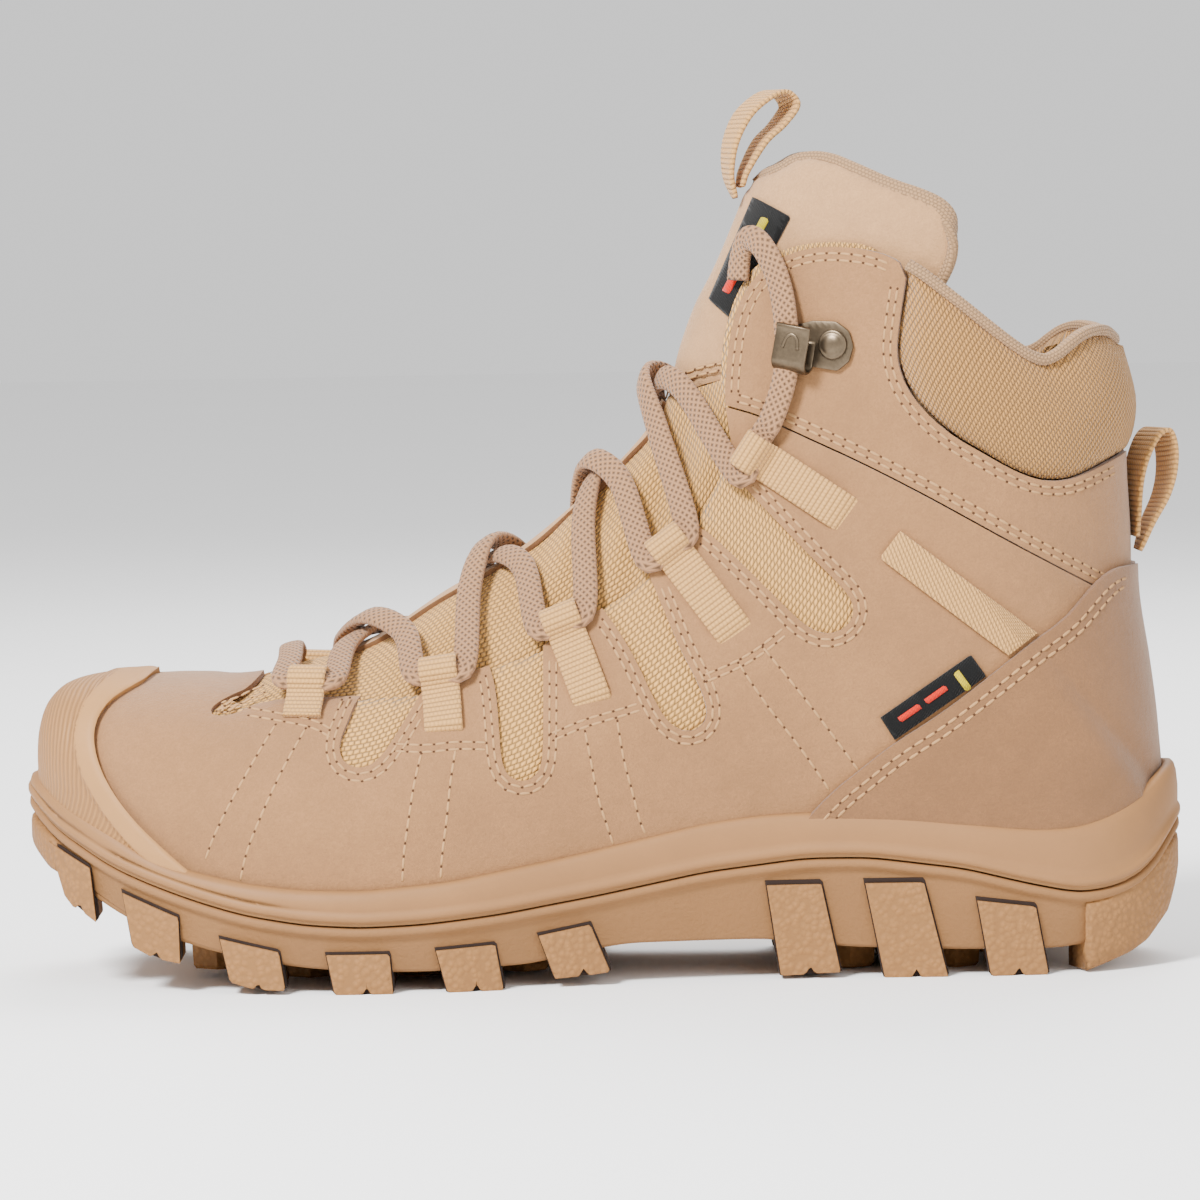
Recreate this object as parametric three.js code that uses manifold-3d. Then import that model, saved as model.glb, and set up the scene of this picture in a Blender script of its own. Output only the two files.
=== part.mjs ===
// Left steel toe work boot. Millimetres, +Z up, toe at -X, heel at +X, outer (lateral) side at -Y.
// The origin is on the ground under the middle of the boot.
import * as THREE from 'three';
import { mergeVertices } from 'three/addons/utils/BufferGeometryUtils.js';
import Module from 'manifold-3d';

const wasm = await Module();
wasm.setup();

// ---- driving dimensions -------------------------------------------------------------------------
const SOLE_LENGTH = 310;
const SOLE_HALF_WIDTH = 53.7;
const GAP = 0.3;
const LEATHER = 1.6;
const TEXTILE = 1.2;
const OVERLAY = 1.6;
const STEEL_CAP = 2;
const COUNTER = 2.2;
const COLLAR_FOAM = 5;
const LINING = 1.2;
const TONGUE_DEPTH = 3.9;
const TONGUE_THICKNESS = 4.2;
const BUMPER = 3.1;
const WALL_WIDTH = 4.9;
const PLATE = 1;
const BOARD = 2;
const SHANK = 1.6;
const FOOTBED = 4;
const LUG_DEPTH = 24;
const WEBBING = 1.3;
const LOOP_WIDTH = 10.2;
const LACE_RADIUS = 1.6;
const EYE_RADIUS = 2.5;
const RIVET_RADIUS = 3.9;
const PULL_WIDTH = 12;
const FOOTBED_PLAY = 2;
const ROWS = 25;
const COLUMNS = 12;

const k = SOLE_LENGTH / 310;
const kw = SOLE_HALF_WIDTH / 53.7;

// ---- small mesh helpers -------------------------------------------------------------------------
function toSolid(geometry) {
  const plain = geometry.clone();
  plain.deleteAttribute('normal');
  plain.deleteAttribute('uv');
  const merged = mergeVertices(plain, 1e-4);
  const mesh = new wasm.Mesh({
    numProp: 3,
    vertProperties: new Float32Array(merged.attributes.position.array),
    triVerts: new Uint32Array(merged.index.array),
  });
  return new wasm.Manifold(mesh);
}

function toGeometry(solid) {
  const mesh = solid.getMesh();
  const geometry = new THREE.BufferGeometry();
  geometry.setAttribute('position', new THREE.BufferAttribute(new Float32Array(mesh.vertProperties), 3));
  geometry.setIndex(new THREE.BufferAttribute(new Uint32Array(mesh.triVerts), 1));
  geometry.computeVertexNormals();
  return geometry;
}

function largestBody(solid) {
  const bodies = solid.decompose();
  return bodies.reduce((best, body) => (body.volume() > best.volume() ? body : best));
}

function meshFromFaces(points, faces) {
  const geometry = new THREE.BufferGeometry();
  geometry.setAttribute('position', new THREE.Float32BufferAttribute(points.flat(), 3));
  geometry.setIndex(faces.flat());
  return geometry;
}

// A side-view outline, pushed through from one depth to another.
function prism(outline, from, to) {
  const shape = new THREE.Shape(outline.map(([x, z]) => new THREE.Vector2(x, z)));
  const geometry = new THREE.ExtrudeGeometry(shape, { depth: to - from, bevelEnabled: false, steps: 1 });
  geometry.rotateX(Math.PI / 2);
  geometry.translate(0, to, 0);
  return toSolid(geometry);
}

// A smooth value through evenly spaced knots.
function smooth(values, at) {
  const last = values.length - 1;
  const i = Math.min(Math.max(Math.floor(at), 0), last - 1);
  const f = at - i;
  const p1 = values[i];
  const p2 = values[i + 1];
  const p0 = i > 0 ? values[i - 1] : 2 * p1 - p2;
  const p3 = i + 2 <= last ? values[i + 2] : 2 * p2 - p1;
  const pull = (p2 - p0) * f + (2 * p0 - 5 * p1 + 4 * p2 - p3) * f * f + (3 * p1 - p0 - 3 * p2 + p3) * f ** 3;
  return p1 + pull / 2;
}

// A value read from a list of [x, value] points.
function along(points, x) {
  const last = points.length - 1;
  if (x <= points[0][0]) return points[0][1];
  if (x >= points[last][0]) return points[last][1];
  const i = points.findIndex((p) => p[0] > x) - 1;
  const f = (x - points[i][0]) / (points[i + 1][0] - points[i][0]);
  return points[i][1] + f * (points[i + 1][1] - points[i][1]);
}

const scaled = (points) => points.map(([x, z]) => [x * k, z]);

// ---- sole plan: half width and centre line along X ----------------------------------------------
const HALF_WIDTH = scaled([[-155, 41], [-135, 43.5], [-112, 48.4], [-92, 52.6], [-75, 53.7], [-62, 53.5],
  [-40, 50.5], [-18, 45], [5, 40.2], [28, 36.9], [52, 35.8], [77, 36.4], [100, 37.6], [120, 36.5],
  [155, 34.5]]);
const CENTRE = scaled([[-155, 8], [-135, 5], [-112, 2.6], [-85, 1], [-62, -0.3], [-35, -2], [0, -3],
  [35, -2.4], [65, -1.5], [120, -0.6], [155, 0]]);
const TOE_ROUND = 45;
const HEEL_ROUND = 37;

function planHalf(x, inset) {
  const tip = SOLE_LENGTH / 2 - inset;
  const toe = Math.min(Math.max((TOE_ROUND - inset - tip - x) / (TOE_ROUND - inset), 0), 1);
  const heel = Math.min(Math.max((x - tip + HEEL_ROUND - inset) / (HEEL_ROUND - inset), 0), 1);
  const round = (1 - toe ** 2.3) ** (1 / 2.3) * Math.sqrt(1 - heel * heel);
  return (along(HALF_WIDTH, x) * kw - inset) * round;
}

// Heights along the sole, in the side view.
const WALL_TOP = scaled([[-155, 55.5], [-149, 51.5], [-141, 47], [-131.5, 42], [-123.5, 37.3], [-116.5, 34],
  [-106, 31.2], [-95.5, 29], [-80.5, 27.2], [-62.5, 26.8], [-40, 28.6], [-11, 33.6], [13.5, 38.7],
  [27, 41.6], [40.5, 43.3], [54.5, 43.8], [78.5, 42.5], [95.5, 40.4], [110, 38.6], [123, 38.2],
  [132, 39.8], [142.5, 44.6], [150, 50], [155, 54]]);
const BEAD = scaled([[-155, 50], [-148, 42.5], [-139, 37.7], [-131, 33], [-120, 28.7], [-106, 24], [-95, 21],
  [-79, 18.4], [-64, 17.5], [-48, 18], [-27, 20], [0, 24.2], [27, 29.1], [53, 32], [70, 31.9], [95, 28.6],
  [113, 24], [126, 21.4], [138, 23], [147, 28], [153, 37], [155, 40]]);
const CARRIER = scaled([[-155, 42], [-148, 33], [-138, 26], [-128, 20], [-115, 14.5], [-101, 10.5], [-81, 7],
  [-64, 5.6], [-46, 5.3], [-20, 6.2], [-5, 9], [5, 10.6], [42, 10.6], [64, 8], [90, 7], [120, 6.6],
  [135, 9], [146, 16], [155, 27]]);
const SEAT = scaled([[-155, 49], [-139, 41.5], [-128, 36], [-117, 30.5], [-106, 26.5], [-95, 24], [-80, 22],
  [-62, 21.5], [-40, 23], [-11, 28], [13.5, 32.5], [27, 35], [40.5, 36.5], [54.5, 37], [78.5, 36],
  [95.5, 34.5], [117, 33.6], [130, 35], [142, 39], [155, 45]]);

// One closed ring of the sole at an inset and a height that may follow X.
const STATIONS = 20;
function soleRing(inset, height) {
  const tip = SOLE_LENGTH / 2 - inset;
  const reach = inset < WALL_WIDTH + 1 ? SOLE_LENGTH / 2 : tip;
  const side = (sign) => Array.from({ length: STATIONS + 1 }, (_, i) => {
    const share = -Math.cos((Math.PI * i) / STATIONS);
    const x = tip * share;
    return [x, along(CENTRE, x) + sign * planHalf(x, inset), height(reach * share)];
  });
  return [...side(-1), ...side(1).slice(1, -1).reverse()];
}

// A solid through a stack of such rings, capped at both ends by strips from side to side.
function soleLoft(levels) {
  const rings = levels.map(([inset, height]) => soleRing(inset, height));
  const count = rings[0].length;
  const faces = [];
  for (let r = 0; r < rings.length - 1; r += 1) {
    for (let i = 0; i < count; i += 1) {
      const a = r * count + i;
      const b = r * count + ((i + 1) % count);
      faces.push([a, b, b + count], [a, b + count, a + count]);
    }
  }
  const cap = (start, up) => {
    for (let i = 0; i < STATIONS; i += 1) {
      const left = [i, i + 1];
      const right = [(count - i) % count, (count - i - 1) % count];
      const quad = [left[0], left[1], right[1], right[0]].map((v) => v + start);
      const wound = up ? quad : quad.reverse();
      if (i > 0 && i < STATIONS - 1) {
        faces.push([wound[0], wound[1], wound[2]], [wound[0], wound[2], wound[3]]);
      } else {
        faces.push([...new Set(wound)]);
      }
    }
  };
  cap(0, false);
  cap((rings.length - 1) * count, true);
  return toSolid(meshFromFaces(rings.flat(), faces));
}

// ---- upper: a fan of sections from the lasting edge to the top line ------------------------------
// x and z of the lower end, x and z of the upper end, half width, its height share, shoulder, crown.
const FAN = [
  [-149.5, 47.5, -149.6, 60, 38, 0.35, 0.6, 0.6],
  [-147.5, 46.2, -149.2, 66.5, 38, 0.35, 0.6, 0.6],
  [-142, 43.2, -146.5, 73, 38.6, 0.34, 0.62, 0.62],
  [-132, 38, -140, 77.6, 39.6, 0.33, 0.62, 0.62],
  [-119, 31.5, -128, 80.2, 42, 0.32, 0.62, 0.6],
  [-106, 26.5, -114, 81, 44, 0.3, 0.6, 0.58],
  [-92, 23.6, -99, 81.5, 47.4, 0.28, 0.55, 0.55],
  [-77, 21.9, -82, 87, 49.4, 0.27, 0.45, 0.5],
  [-60, 21.6, -62, 92.5, 49.6, 0.26, 0.36, 0.42],
  [-40, 23, -42, 105, 46.8, 0.26, 0.3, 0.36],
  [-18, 27, -25, 114, 42.8, 0.28, 0.28, 0.34],
  [5, 31, -8.2, 127, 39.8, 0.31, 0.28, 0.34],
  [28, 35.2, 3.3, 137.5, 38, 0.34, 0.3, 0.36],
  [52, 37, 12, 147.5, 37, 0.37, 0.34, 0.4],
  [77, 36, 16.2, 157.8, 37.3, 0.4, 0.38, 0.44],
  [102, 34, 19.3, 168.2, 38, 0.42, 0.42, 0.47],
  [123, 34.2, 23.3, 178.7, 38.8, 0.44, 0.45, 0.5],
  [139, 38, 28, 187.5, 39.4, 0.46, 0.48, 0.5],
  [147.6, 46, 31.5, 195, 39.6, 0.47, 0.5, 0.52],
  [147.6, 62, 34.5, 202, 39.4, 0.48, 0.52, 0.53],
  [145.6, 80, 37, 208, 39, 0.49, 0.54, 0.54],
  [143, 98, 39.5, 213, 39, 0.5, 0.55, 0.55],
  [142.6, 116, 42.5, 218, 39.5, 0.5, 0.55, 0.55],
  [141.8, 133, 46.5, 222.5, 40.5, 0.5, 0.55, 0.55],
  [142, 150, 52, 226, 41.5, 0.5, 0.55, 0.55],
  [139, 170, 60, 229.5, 42, 0.5, 0.55, 0.55],
];
const HEEL_ROW = 18;
const LAST_ROW = FAN.length - 1;
const MIDDLE = 0.45;
const columnsOf = FAN[0].map((_, c) => FAN.map((row) => row[c]));

function section(s) {
  const [bx, bz, tx, tz, wide, level, shoulder, crown] = columnsOf.map((column) => smooth(column, s));
  const foot = Math.max(bx * k, -SOLE_LENGTH / 2 + WALL_WIDTH + 0.6);
  const round = planHalf(foot, WALL_WIDTH) / (along(HALF_WIDTH, foot) * kw - WALL_WIDTH);
  const low = s >= HEEL_ROW ? 0 : planHalf(Math.min(foot, SOLE_LENGTH / 2 - WALL_WIDTH - 2.5), WALL_WIDTH);
  const toe = s < 5 ? round : 1;
  return {
    bx: bx * k, bz, tx: tx * k, tz, level, shoulder, crown,
    low: s <= 0 ? 0 : low * Math.min(1, (HEEL_ROW - s) * 2.5),
    wide: s <= 0 ? 0 : wide * kw * toe,
    centre: along(CENTRE, foot) * (s > 12 ? Math.max(0, (HEEL_ROW - s) / 6) : 1),
  };
}

const bezier = (a, b, c, d, f) => {
  const g = 1 - f;
  return a * g ** 3 + 3 * b * f * g * g + 3 * c * f * f * g + d * f ** 3;
};

// Height share and half width of a section at q, from 0 at the foot to 1 at the top.
function profile(sec, q) {
  if (q < MIDDLE) {
    const f = q / MIDDLE;
    const rise = sec.wide - sec.low;
    return [
      bezier(0, sec.level * 0.18 * (sec.low / (sec.wide + 0.001)), sec.level * 0.45, sec.level, f),
      bezier(sec.low, sec.low + 0.55 * rise, sec.wide, sec.wide, f),
    ];
  }
  const f = (q - MIDDLE) / (1 - MIDDLE);
  return [
    bezier(sec.level, sec.level + sec.shoulder * (1 - sec.level), 1, 1, f),
    bezier(sec.wide, sec.wide, sec.crown * sec.wide, 0, f),
  ];
}

// A point of the upper: s along the fan, t from -1 (lateral foot) over the top to 1 (medial foot).
function basePoint(s, t) {
  const sec = section(s);
  const [u, w] = profile(sec, 1 - Math.abs(t));
  const y = sec.centre + Math.sign(t) * w;
  return new THREE.Vector3(sec.bx + (sec.tx - sec.bx) * u, y, sec.bz + (sec.tz - sec.bz) * u);
}

function baseNormal(s, t) {
  const sec = section(s);
  const chord = new THREE.Vector3(sec.tx - sec.bx, 0, sec.tz - sec.bz).normalize();
  if (s < 0.02) return new THREE.Vector3(-chord.z, 0, chord.x);
  if (s >= HEEL_ROW && Math.abs(t) > 0.995) return new THREE.Vector3(-chord.x, 0, -chord.z);
  const e = 0.01;
  const s0 = Math.max(s - e, 0.001);
  const s1 = Math.min(s + e, LAST_ROW);
  const side = Math.abs(t) < e ? 0 : t;
  const ds = basePoint(s1, side).sub(basePoint(s0, side));
  const dt = basePoint(s, Math.min(t + e, 1)).sub(basePoint(s, Math.max(t - e, -1)));
  return new THREE.Vector3().crossVectors(ds, dt).normalize();
}

function offsetPoint(s, t, distance) {
  return basePoint(s, t).addScaledVector(baseNormal(s, t), distance);
}

const rowAt = (i) => (LAST_ROW * i) / ROWS;
const columnAt = (j) => (2 * j) / COLUMNS - 1;

// Closed wall between two offsets of the fan.
function shell(one, other) {
  const outer = Math.max(one, other);
  const inner = Math.min(one, other);
  const points = [];
  const faces = [];
  const index = (layer, i, j) => (layer * (ROWS + 1) + i) * (COLUMNS + 1) + j;
  [outer, inner].forEach((distance) => {
    for (let i = 0; i <= ROWS; i += 1) {
      for (let j = 0; j <= COLUMNS; j += 1) {
        points.push(offsetPoint(rowAt(i), columnAt(j), distance).toArray());
      }
    }
  });
  const quad = (a, b, c, d) => faces.push([a, b, c], [a, c, d]);
  for (let i = 0; i < ROWS; i += 1) {
    for (let j = 0; j < COLUMNS; j += 1) {
      quad(index(0, i, j), index(0, i + 1, j), index(0, i + 1, j + 1), index(0, i, j + 1));
      quad(index(1, i, j), index(1, i, j + 1), index(1, i + 1, j + 1), index(1, i + 1, j));
    }
    if (rowAt(i) < HEEL_ROW - 0.01) {
      quad(index(0, i, 0), index(1, i, 0), index(1, i + 1, 0), index(0, i + 1, 0));
      quad(index(0, i + 1, COLUMNS), index(1, i + 1, COLUMNS), index(1, i, COLUMNS), index(0, i, COLUMNS));
    }
  }
  for (let j = 0; j < COLUMNS; j += 1) {
    quad(index(0, ROWS, j), index(1, ROWS, j), index(1, ROWS, j + 1), index(0, ROWS, j + 1));
  }
  return toSolid(meshFromFaces(points, faces));
}

// Closed solid inside one offset of the fan, its foot and mouth shut by straight strips.
function filledFan(distance) {
  const points = [];
  const faces = [];
  const index = (i, j) => i * (COLUMNS + 1) + j;
  for (let i = 0; i <= ROWS; i += 1) {
    for (let j = 0; j <= COLUMNS; j += 1) {
      points.push(offsetPoint(rowAt(i), columnAt(j), distance).toArray());
    }
  }
  const quad = (a, b, c, d) => faces.push([a, b, c], [a, c, d]);
  for (let i = 0; i < ROWS; i += 1) {
    for (let j = 0; j < COLUMNS; j += 1) {
      quad(index(i, j), index(i + 1, j), index(i + 1, j + 1), index(i, j + 1));
    }
    if (rowAt(i) < HEEL_ROW - 0.01) {
      quad(index(i, 0), index(i, COLUMNS), index(i + 1, COLUMNS), index(i + 1, 0));
    }
  }
  for (let j = 0; j < COLUMNS / 2; j += 1) {
    quad(index(ROWS, j), index(ROWS, COLUMNS - j), index(ROWS, COLUMNS - j - 1), index(ROWS, j + 1));
  }
  return toSolid(meshFromFaces(points, faces));
}

// Fan coordinates of a side-view point drawn for the standard length.
function fanAt(standardX, z) {
  const x = standardX * k;
  const across = (s) => {
    const sec = section(s);
    return (sec.tx - sec.bx) * (z - sec.bz) - (sec.tz - sec.bz) * (x - sec.bx);
  };
  const share = (s) => {
    const sec = section(s);
    const length = (sec.tx - sec.bx) ** 2 + (sec.tz - sec.bz) ** 2;
    return ((x - sec.bx) * (sec.tx - sec.bx) + (z - sec.bz) * (sec.tz - sec.bz)) / length;
  };
  const step = 0.25;
  let low = 0.5;
  while (low < LAST_ROW - step) {
    const flips = across(low) * across(low + step) <= 0;
    if (flips && share(low) > -0.2 && share(low) < 1.2) break;
    low += step;
  }
  let high = low + step;
  const sign = Math.sign(across(low)) || 1;
  for (let n = 0; n < 40; n += 1) {
    const mid = (low + high) / 2;
    if (across(mid) * sign > 0) low = mid;
    else high = mid;
  }
  const s = (low + high) / 2;
  const sec = section(s);
  const u = share(s);
  let q0 = 0;
  let q1 = 1;
  for (let n = 0; n < 40; n += 1) {
    const q = (q0 + q1) / 2;
    if (profile(sec, q)[0] < u) q0 = q;
    else q1 = q;
  }
  return [s, 1 - (q0 + q1) / 2];
}

// The same point on the boot's side (-1 lateral, 1 medial), at a distance from the leather's face.
function onSide(x, z, side, distance) {
  const [s, t] = fanAt(x, z);
  return offsetPoint(s, side * t, distance);
}

// ---- outlines in the side view ------------------------------------------------------------------
const FAR = 200;
const BOTTOM = 10;
const RIM = [[-116, 82.5], [-120.6, 79.8], [-126, 77.2], [-130, 74.6], [-132.4, 71.4], [-133.5, 67.7],
  [-133.2, 63.6], [-131.4, 58.2], [-128.1, 52.5], [-124.6, 47.9], [-120.6, 43.3], [-113.5, 36.5],
  [-108, 32.8]];
const THROAT = [[-103.7, 72.8], [-99, 71.6], [-93, 73.4], [-83, 77], [-64, 77.5], [-47, 78.6], [-31, 84],
  [-15, 89], [0, 98.7], [13, 107.2], [25, 119], [32, 132], [33, 152]];
const WINDOWS = [
  [[-64, 77.5], [-69, 66], [-68.5, 61], [-63.5, 58.5], [-58, 61.5], [-53.5, 68], [-47, 78]],
  [[-29.5, 84], [-28, 78], [-26.6, 60], [-24, 55.5], [-20, 54.4], [-16.6, 57.4], [-15.5, 64], [-15.2, 89]],
  [[0.5, 98.5], [8.5, 87], [15.5, 71.5], [20, 66.5], [25, 66.3], [27.7, 70], [25.5, 79], [18, 95],
    [13, 107]],
  [[26, 119.5], [29, 117.8], [48.5, 98.5], [56, 91.8], [62.5, 91.3], [66.8, 95.5], [63.5, 103.5],
    [47.5, 120], [36.8, 131.6]],
];
const ANKLE_FRONT = [[34, 151.8], [34, 158], [36, 172.5], [39.5, 181], [44.5, 187], [51.5, 191], [60, 192.8],
  [70, 192], [79, 189]];
const ANKLE_BACK = [[81, 184], [79.2, 172], [78.6, 165], [81, 155], [88, 146], [98, 138], [107.5, 133],
  [118, 129.8], [126, 130], [134.5, 133.8], [139.5, 135.5]];
const ANKLE_FOOT = [[34, 151.2], [43, 148.6], [54, 143.3], [67.5, 137], [81, 130], [94.5, 122.5], [107.5, 115],
  [121, 107.5], [134.5, 100], [139, 97.5]];
const COLLAR_TOP = [[81.8, 186.3], [89.5, 181.2], [96.5, 175.3], [103.5, 169.3], [110.5, 163.8], [118, 160.6],
  [124.5, 165], [130, 168.3], [136.5, 168.6]];
const FOXING = [[54.5, 44.6], [67.5, 55.2], [76, 61.8], [89, 69.8], [100.7, 78.6], [112.8, 88], [121.5, 93.6],
  [129, 101], [134, 105.2], [138.3, 106.4]];
const TONGUE_EDGE = [[-101.5, 74], [-93, 72], [-83, 73], [-64, 73.6], [-47, 74.5], [-31, 80], [-15, 85],
  [2.5, 94.5], [16, 103.5], [28.5, 115.5], [36, 130], [39, 148]];
const TONGUE_WING = [[48, 156], [66, 164], [79, 172.5], [88, 181.5], [92, 187.5], [93.4, 193.8]];
const TONGUE_TOP = [[92, 199.4], [85, 204.8], [75, 208.8], [66, 214], [58.5, 218.8], [53, 219.2], [49, 217.6],
  [46, 215], [42, 214], [36, 212]];
const SEAM = [[10, 153], [20, 155.5], [27, 158.2], [39, 159.5]];
const SEAM_GAP = 0.5;

const wide = (outline) => outline.map(([x, z]) => [x * k, z]);
const both = (outline) => prism(wide(outline), -90 * kw, 90 * kw);
const half = (outline, side) => {
  const clear = 3 * GAP;
  return side < 0 ? prism(wide(outline), -90 * kw, -clear) : prism(wide(outline), clear, 90 * kw);
};

function vampOutline() {
  const [w2, w3, w4, w5] = WINDOWS;
  const back = ANKLE_FOOT.slice(1).map(([x, z]) => [x, z - SEAM_GAP]);
  return [
    [-FAR, BOTTOM], [FAR, BOTTOM], [FAR, 90], ...back.reverse(), ...w5.slice().reverse(),
    ...w4.slice().reverse(), ...w3.slice().reverse(), ...w2.slice().reverse(), [-83, 77], [-93, 73.4],
    [-99, 71.6], [-103.7, 72.8], [-98.6, 76.2], [-94.5, 79.6], [-91.5, 82.4], [-89, 92], [-92, 110],
    [-FAR, 110],
  ];
}

const underlayOutline = () => [
  [-103.7, 76], [-105.6, 70], [-100, 62], [-78, 60], [-74, 52], [-60, 50], [-48, 58], [-34, 54], [-26, 46],
  [-12, 46], [-4, 62], [8, 66], [18, 58], [32, 59], [38, 74], [50, 82], [66, 83], [76, 93], [68, 108],
  [50, 130], [34.5, 137], ...THROAT.slice(1, 12).reverse(),
];
const ankleOutline = () => [
  ...ANKLE_FRONT, ...ANKLE_BACK, [FAR, 135.5], [FAR, 97.5], ...ANKLE_FOOT.slice().reverse(),
];
const collarOutline = () => {
  const foot = ANKLE_BACK.map(([x, z]) => [x + SEAM_GAP, z + SEAM_GAP]);
  return [...foot.slice().reverse(), ...COLLAR_TOP, [FAR, 168.6], [FAR, 136]];
};
const pipingOutline = () => {
  const low = COLLAR_TOP.map(([x, z]) => [x + 0.3, z + GAP]);
  const high = COLLAR_TOP.map(([x, z]) => [x + 1.4, z + 2.6]);
  return [...low, [FAR, 168.9], [FAR, 171.2], ...high.reverse()];
};
// The top edge of the sole's wall between two places, lifted by the gap.
const wallLine = (from, to) => {
  const inside = WALL_TOP.filter(([x]) => x > from && x < to);
  const line = [[from, along(WALL_TOP, from)], ...inside, [to, along(WALL_TOP, to)]];
  return line.map(([x, z]) => [x / k, z + GAP]);
};
const foxingOutline = () => [...FOXING, [FAR, 106.4], [FAR, 54], ...wallLine(56 * k, 155 * k).reverse()];
const bumperOutline = () => [
  [-FAR, 110], [-116, 110], ...RIM, ...wallLine(-155 * k, -109.5 * k).reverse(), [-FAR, 56],
];
const liningOutline = () => {
  const wing = TONGUE_WING.slice(0, 4).map(([x, z]) => [x + 3, z - 10]);
  const edge = [...TONGUE_EDGE.slice(0, -1).map(([x, z]) => [x + 1.2, z - 1.6]), ...wing];
  return [
    [-FAR, BOTTOM], [FAR, BOTTOM], [FAR, 168], [136.5, 168], ...COLLAR_TOP.slice(2, -1).reverse(),
    ...edge.reverse(), [-104, 76], [-104, 110], [-FAR, 110],
  ];
};
const ankleLiningOutline = () => [
  [36, 156], [38, 172], [42, 181], [47, 187], [54, 190], [62, 191.4], [76, 189], [77.5, 180], [74, 172],
  [66, 166], [50, 158.5], [42, 153.5],
];
const lowerTongueOutline = () => {
  const seam = SEAM.map(([x, z]) => [x, z - SEAM_GAP]);
  return [...TONGUE_EDGE, ...seam.reverse(), [-20, 150], [-60, 120], [-90, 110], [-101.5, 95]];
};
const upperTongueOutline = () => [...SEAM, ...TONGUE_WING, ...TONGUE_TOP, [0, 200]];

// ---- the object ---------------------------------------------------------------------------------
const boot = new THREE.Group();
const paint = (color, roughness, metalness = 0) => ({ color, roughness, metalness });
const NUBUCK = paint(0xb8967a, 0.85);
const CORDURA = paint(0xd5b28d, 0.9);
const WEB = paint(0xd2ab86, 0.9);
const KNIT = paint(0xbea491, 0.95);
const RUBBER = paint(0xa6856b, 0.65);
const STEEL = paint(0x8c8e92, 0.35, 0.9);
const NICKEL = paint(0x7a6c64, 0.35, 0.85);
const FOAM = paint(0xd8cfc0, 0.95);
const BLACK = paint(0x101010, 0.8);
const FIBRE = paint(0x9a8f80, 0.8);

function add(name, solid, finish) {
  const mesh = new THREE.Mesh(toGeometry(largestBody(solid)), new THREE.MeshStandardMaterial(finish));
  mesh.name = name;
  boot.add(mesh);
}

const SIDES = [[-1, 'lateral'], [1, 'medial']];
const leatherShell = shell(0, -LEATHER);
const leatherRoom = shell(GAP, -LEATHER - GAP);
const overlayShell = shell(GAP, GAP + OVERLAY);
const webbingShell = shell(GAP, GAP + WEBBING);

// Lasting margins end on the seat of the sole, so every layer is cut level with it.
const height = (line, lift) => (x) => along(line, x) + lift;
const LASTING = 0.8;
const underSeat = soleLoft([[0, () => -20], [0, height(SEAT, LASTING)]]);
const vamp = leatherShell.intersect(both(vampOutline())).subtract(underSeat);
add('vamp', vamp, NUBUCK);
const underlayShell = shell(-LEATHER - GAP, -LEATHER - GAP - TEXTILE);
const liningShell = shell(-(LEATHER + TEXTILE + 1.9), -(LEATHER + TEXTILE + 1.9 + LINING));
const rearLiningFace = -(LEATHER + 2 * GAP + COLLAR_FOAM);
const rearLiningShell = shell(rearLiningFace, rearLiningFace - LINING);
SIDES.forEach(([side, word]) => {
  add(`side_textile_${word}`, underlayShell.intersect(half(underlayOutline(), side)), CORDURA);
  add(`ankle_panel_${word}`, leatherShell.intersect(half(ankleOutline(), side)), NUBUCK);
  add(`ankle_lining_${word}`, underlayShell.intersect(half(ankleLiningOutline(), side)), KNIT);
});
add('collar_cover', leatherShell.intersect(both(collarOutline())), CORDURA);
add('collar_piping', shell(-0.2, -3).intersect(both(pipingOutline())), KNIT);
const foamOutline = [[99, 172], [104, 167], [110.5, 162], [118, 159], [124.5, 163.3], [130, 166.6],
  [137, 167], [FAR, 167], [FAR, 104], [128, 104], [99, 132]];
add('collar_foam', shell(-LEATHER - GAP, -LEATHER - GAP - COLLAR_FOAM).intersect(both(foamOutline)), FOAM);
const counterOutline = [[92, BOTTOM], [92, 66], [104, 82], [118, 94], [126, 103.4], [FAR, 103.4], [FAR, BOTTOM]];
const counter = shell(-LEATHER - GAP, -LEATHER - GAP - COUNTER).intersect(both(counterOutline));
add('heel_counter', counter.subtract(underSeat), FIBRE);
const capOutline = [[-FAR, BOTTOM], [-112, BOTTOM], [-107.5, 50], [-106.5, 84], [-106.5, 110], [-FAR, 110]];
const cap = shell(-LEATHER - GAP, -LEATHER - GAP - STEEL_CAP).intersect(both(capOutline));
add('steel_toe_cap', cap.subtract(underSeat), STEEL);
const SPLIT = 92;
const behindSplit = [[SPLIT, 0], [FAR, 0], [FAR, 250], [SPLIT, 250]];
const innerFront = liningShell.intersect(both(liningOutline())).subtract(both(behindSplit));
add('vamp_lining', innerFront.subtract(underSeat), KNIT);
const heelLiningOutline = [[SPLIT + SEAM_GAP, BOTTOM], [FAR, BOTTOM], [FAR, 167], [136, 167], [130, 166.6],
  [124.5, 163.3], [118, 159], [110.5, 162], [104, 167], [SPLIT + SEAM_GAP, 166]];
add('heel_lining', rearLiningShell.intersect(both(heelLiningOutline)).subtract(underSeat), KNIT);
const CUP = 4;
const FLOOR = 3.7;
const CUP_PLAY = 1.5;
const RIDGE_RISE = 2;
const wall = soleLoft([
  [CUP + CUP_PLAY, height(CARRIER, FLOOR + CUP_PLAY)],
  [CUP + CUP_PLAY, height(BEAD, GAP / 2)],
  [0.5, height(BEAD, GAP / 2)],
  [0, height(BEAD, RIDGE_RISE)],
  [0.4, (x) => (along(BEAD, x) + RIDGE_RISE + along(WALL_TOP, x)) / 2],
  [1.5, height(WALL_TOP, 0)],
]);
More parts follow.
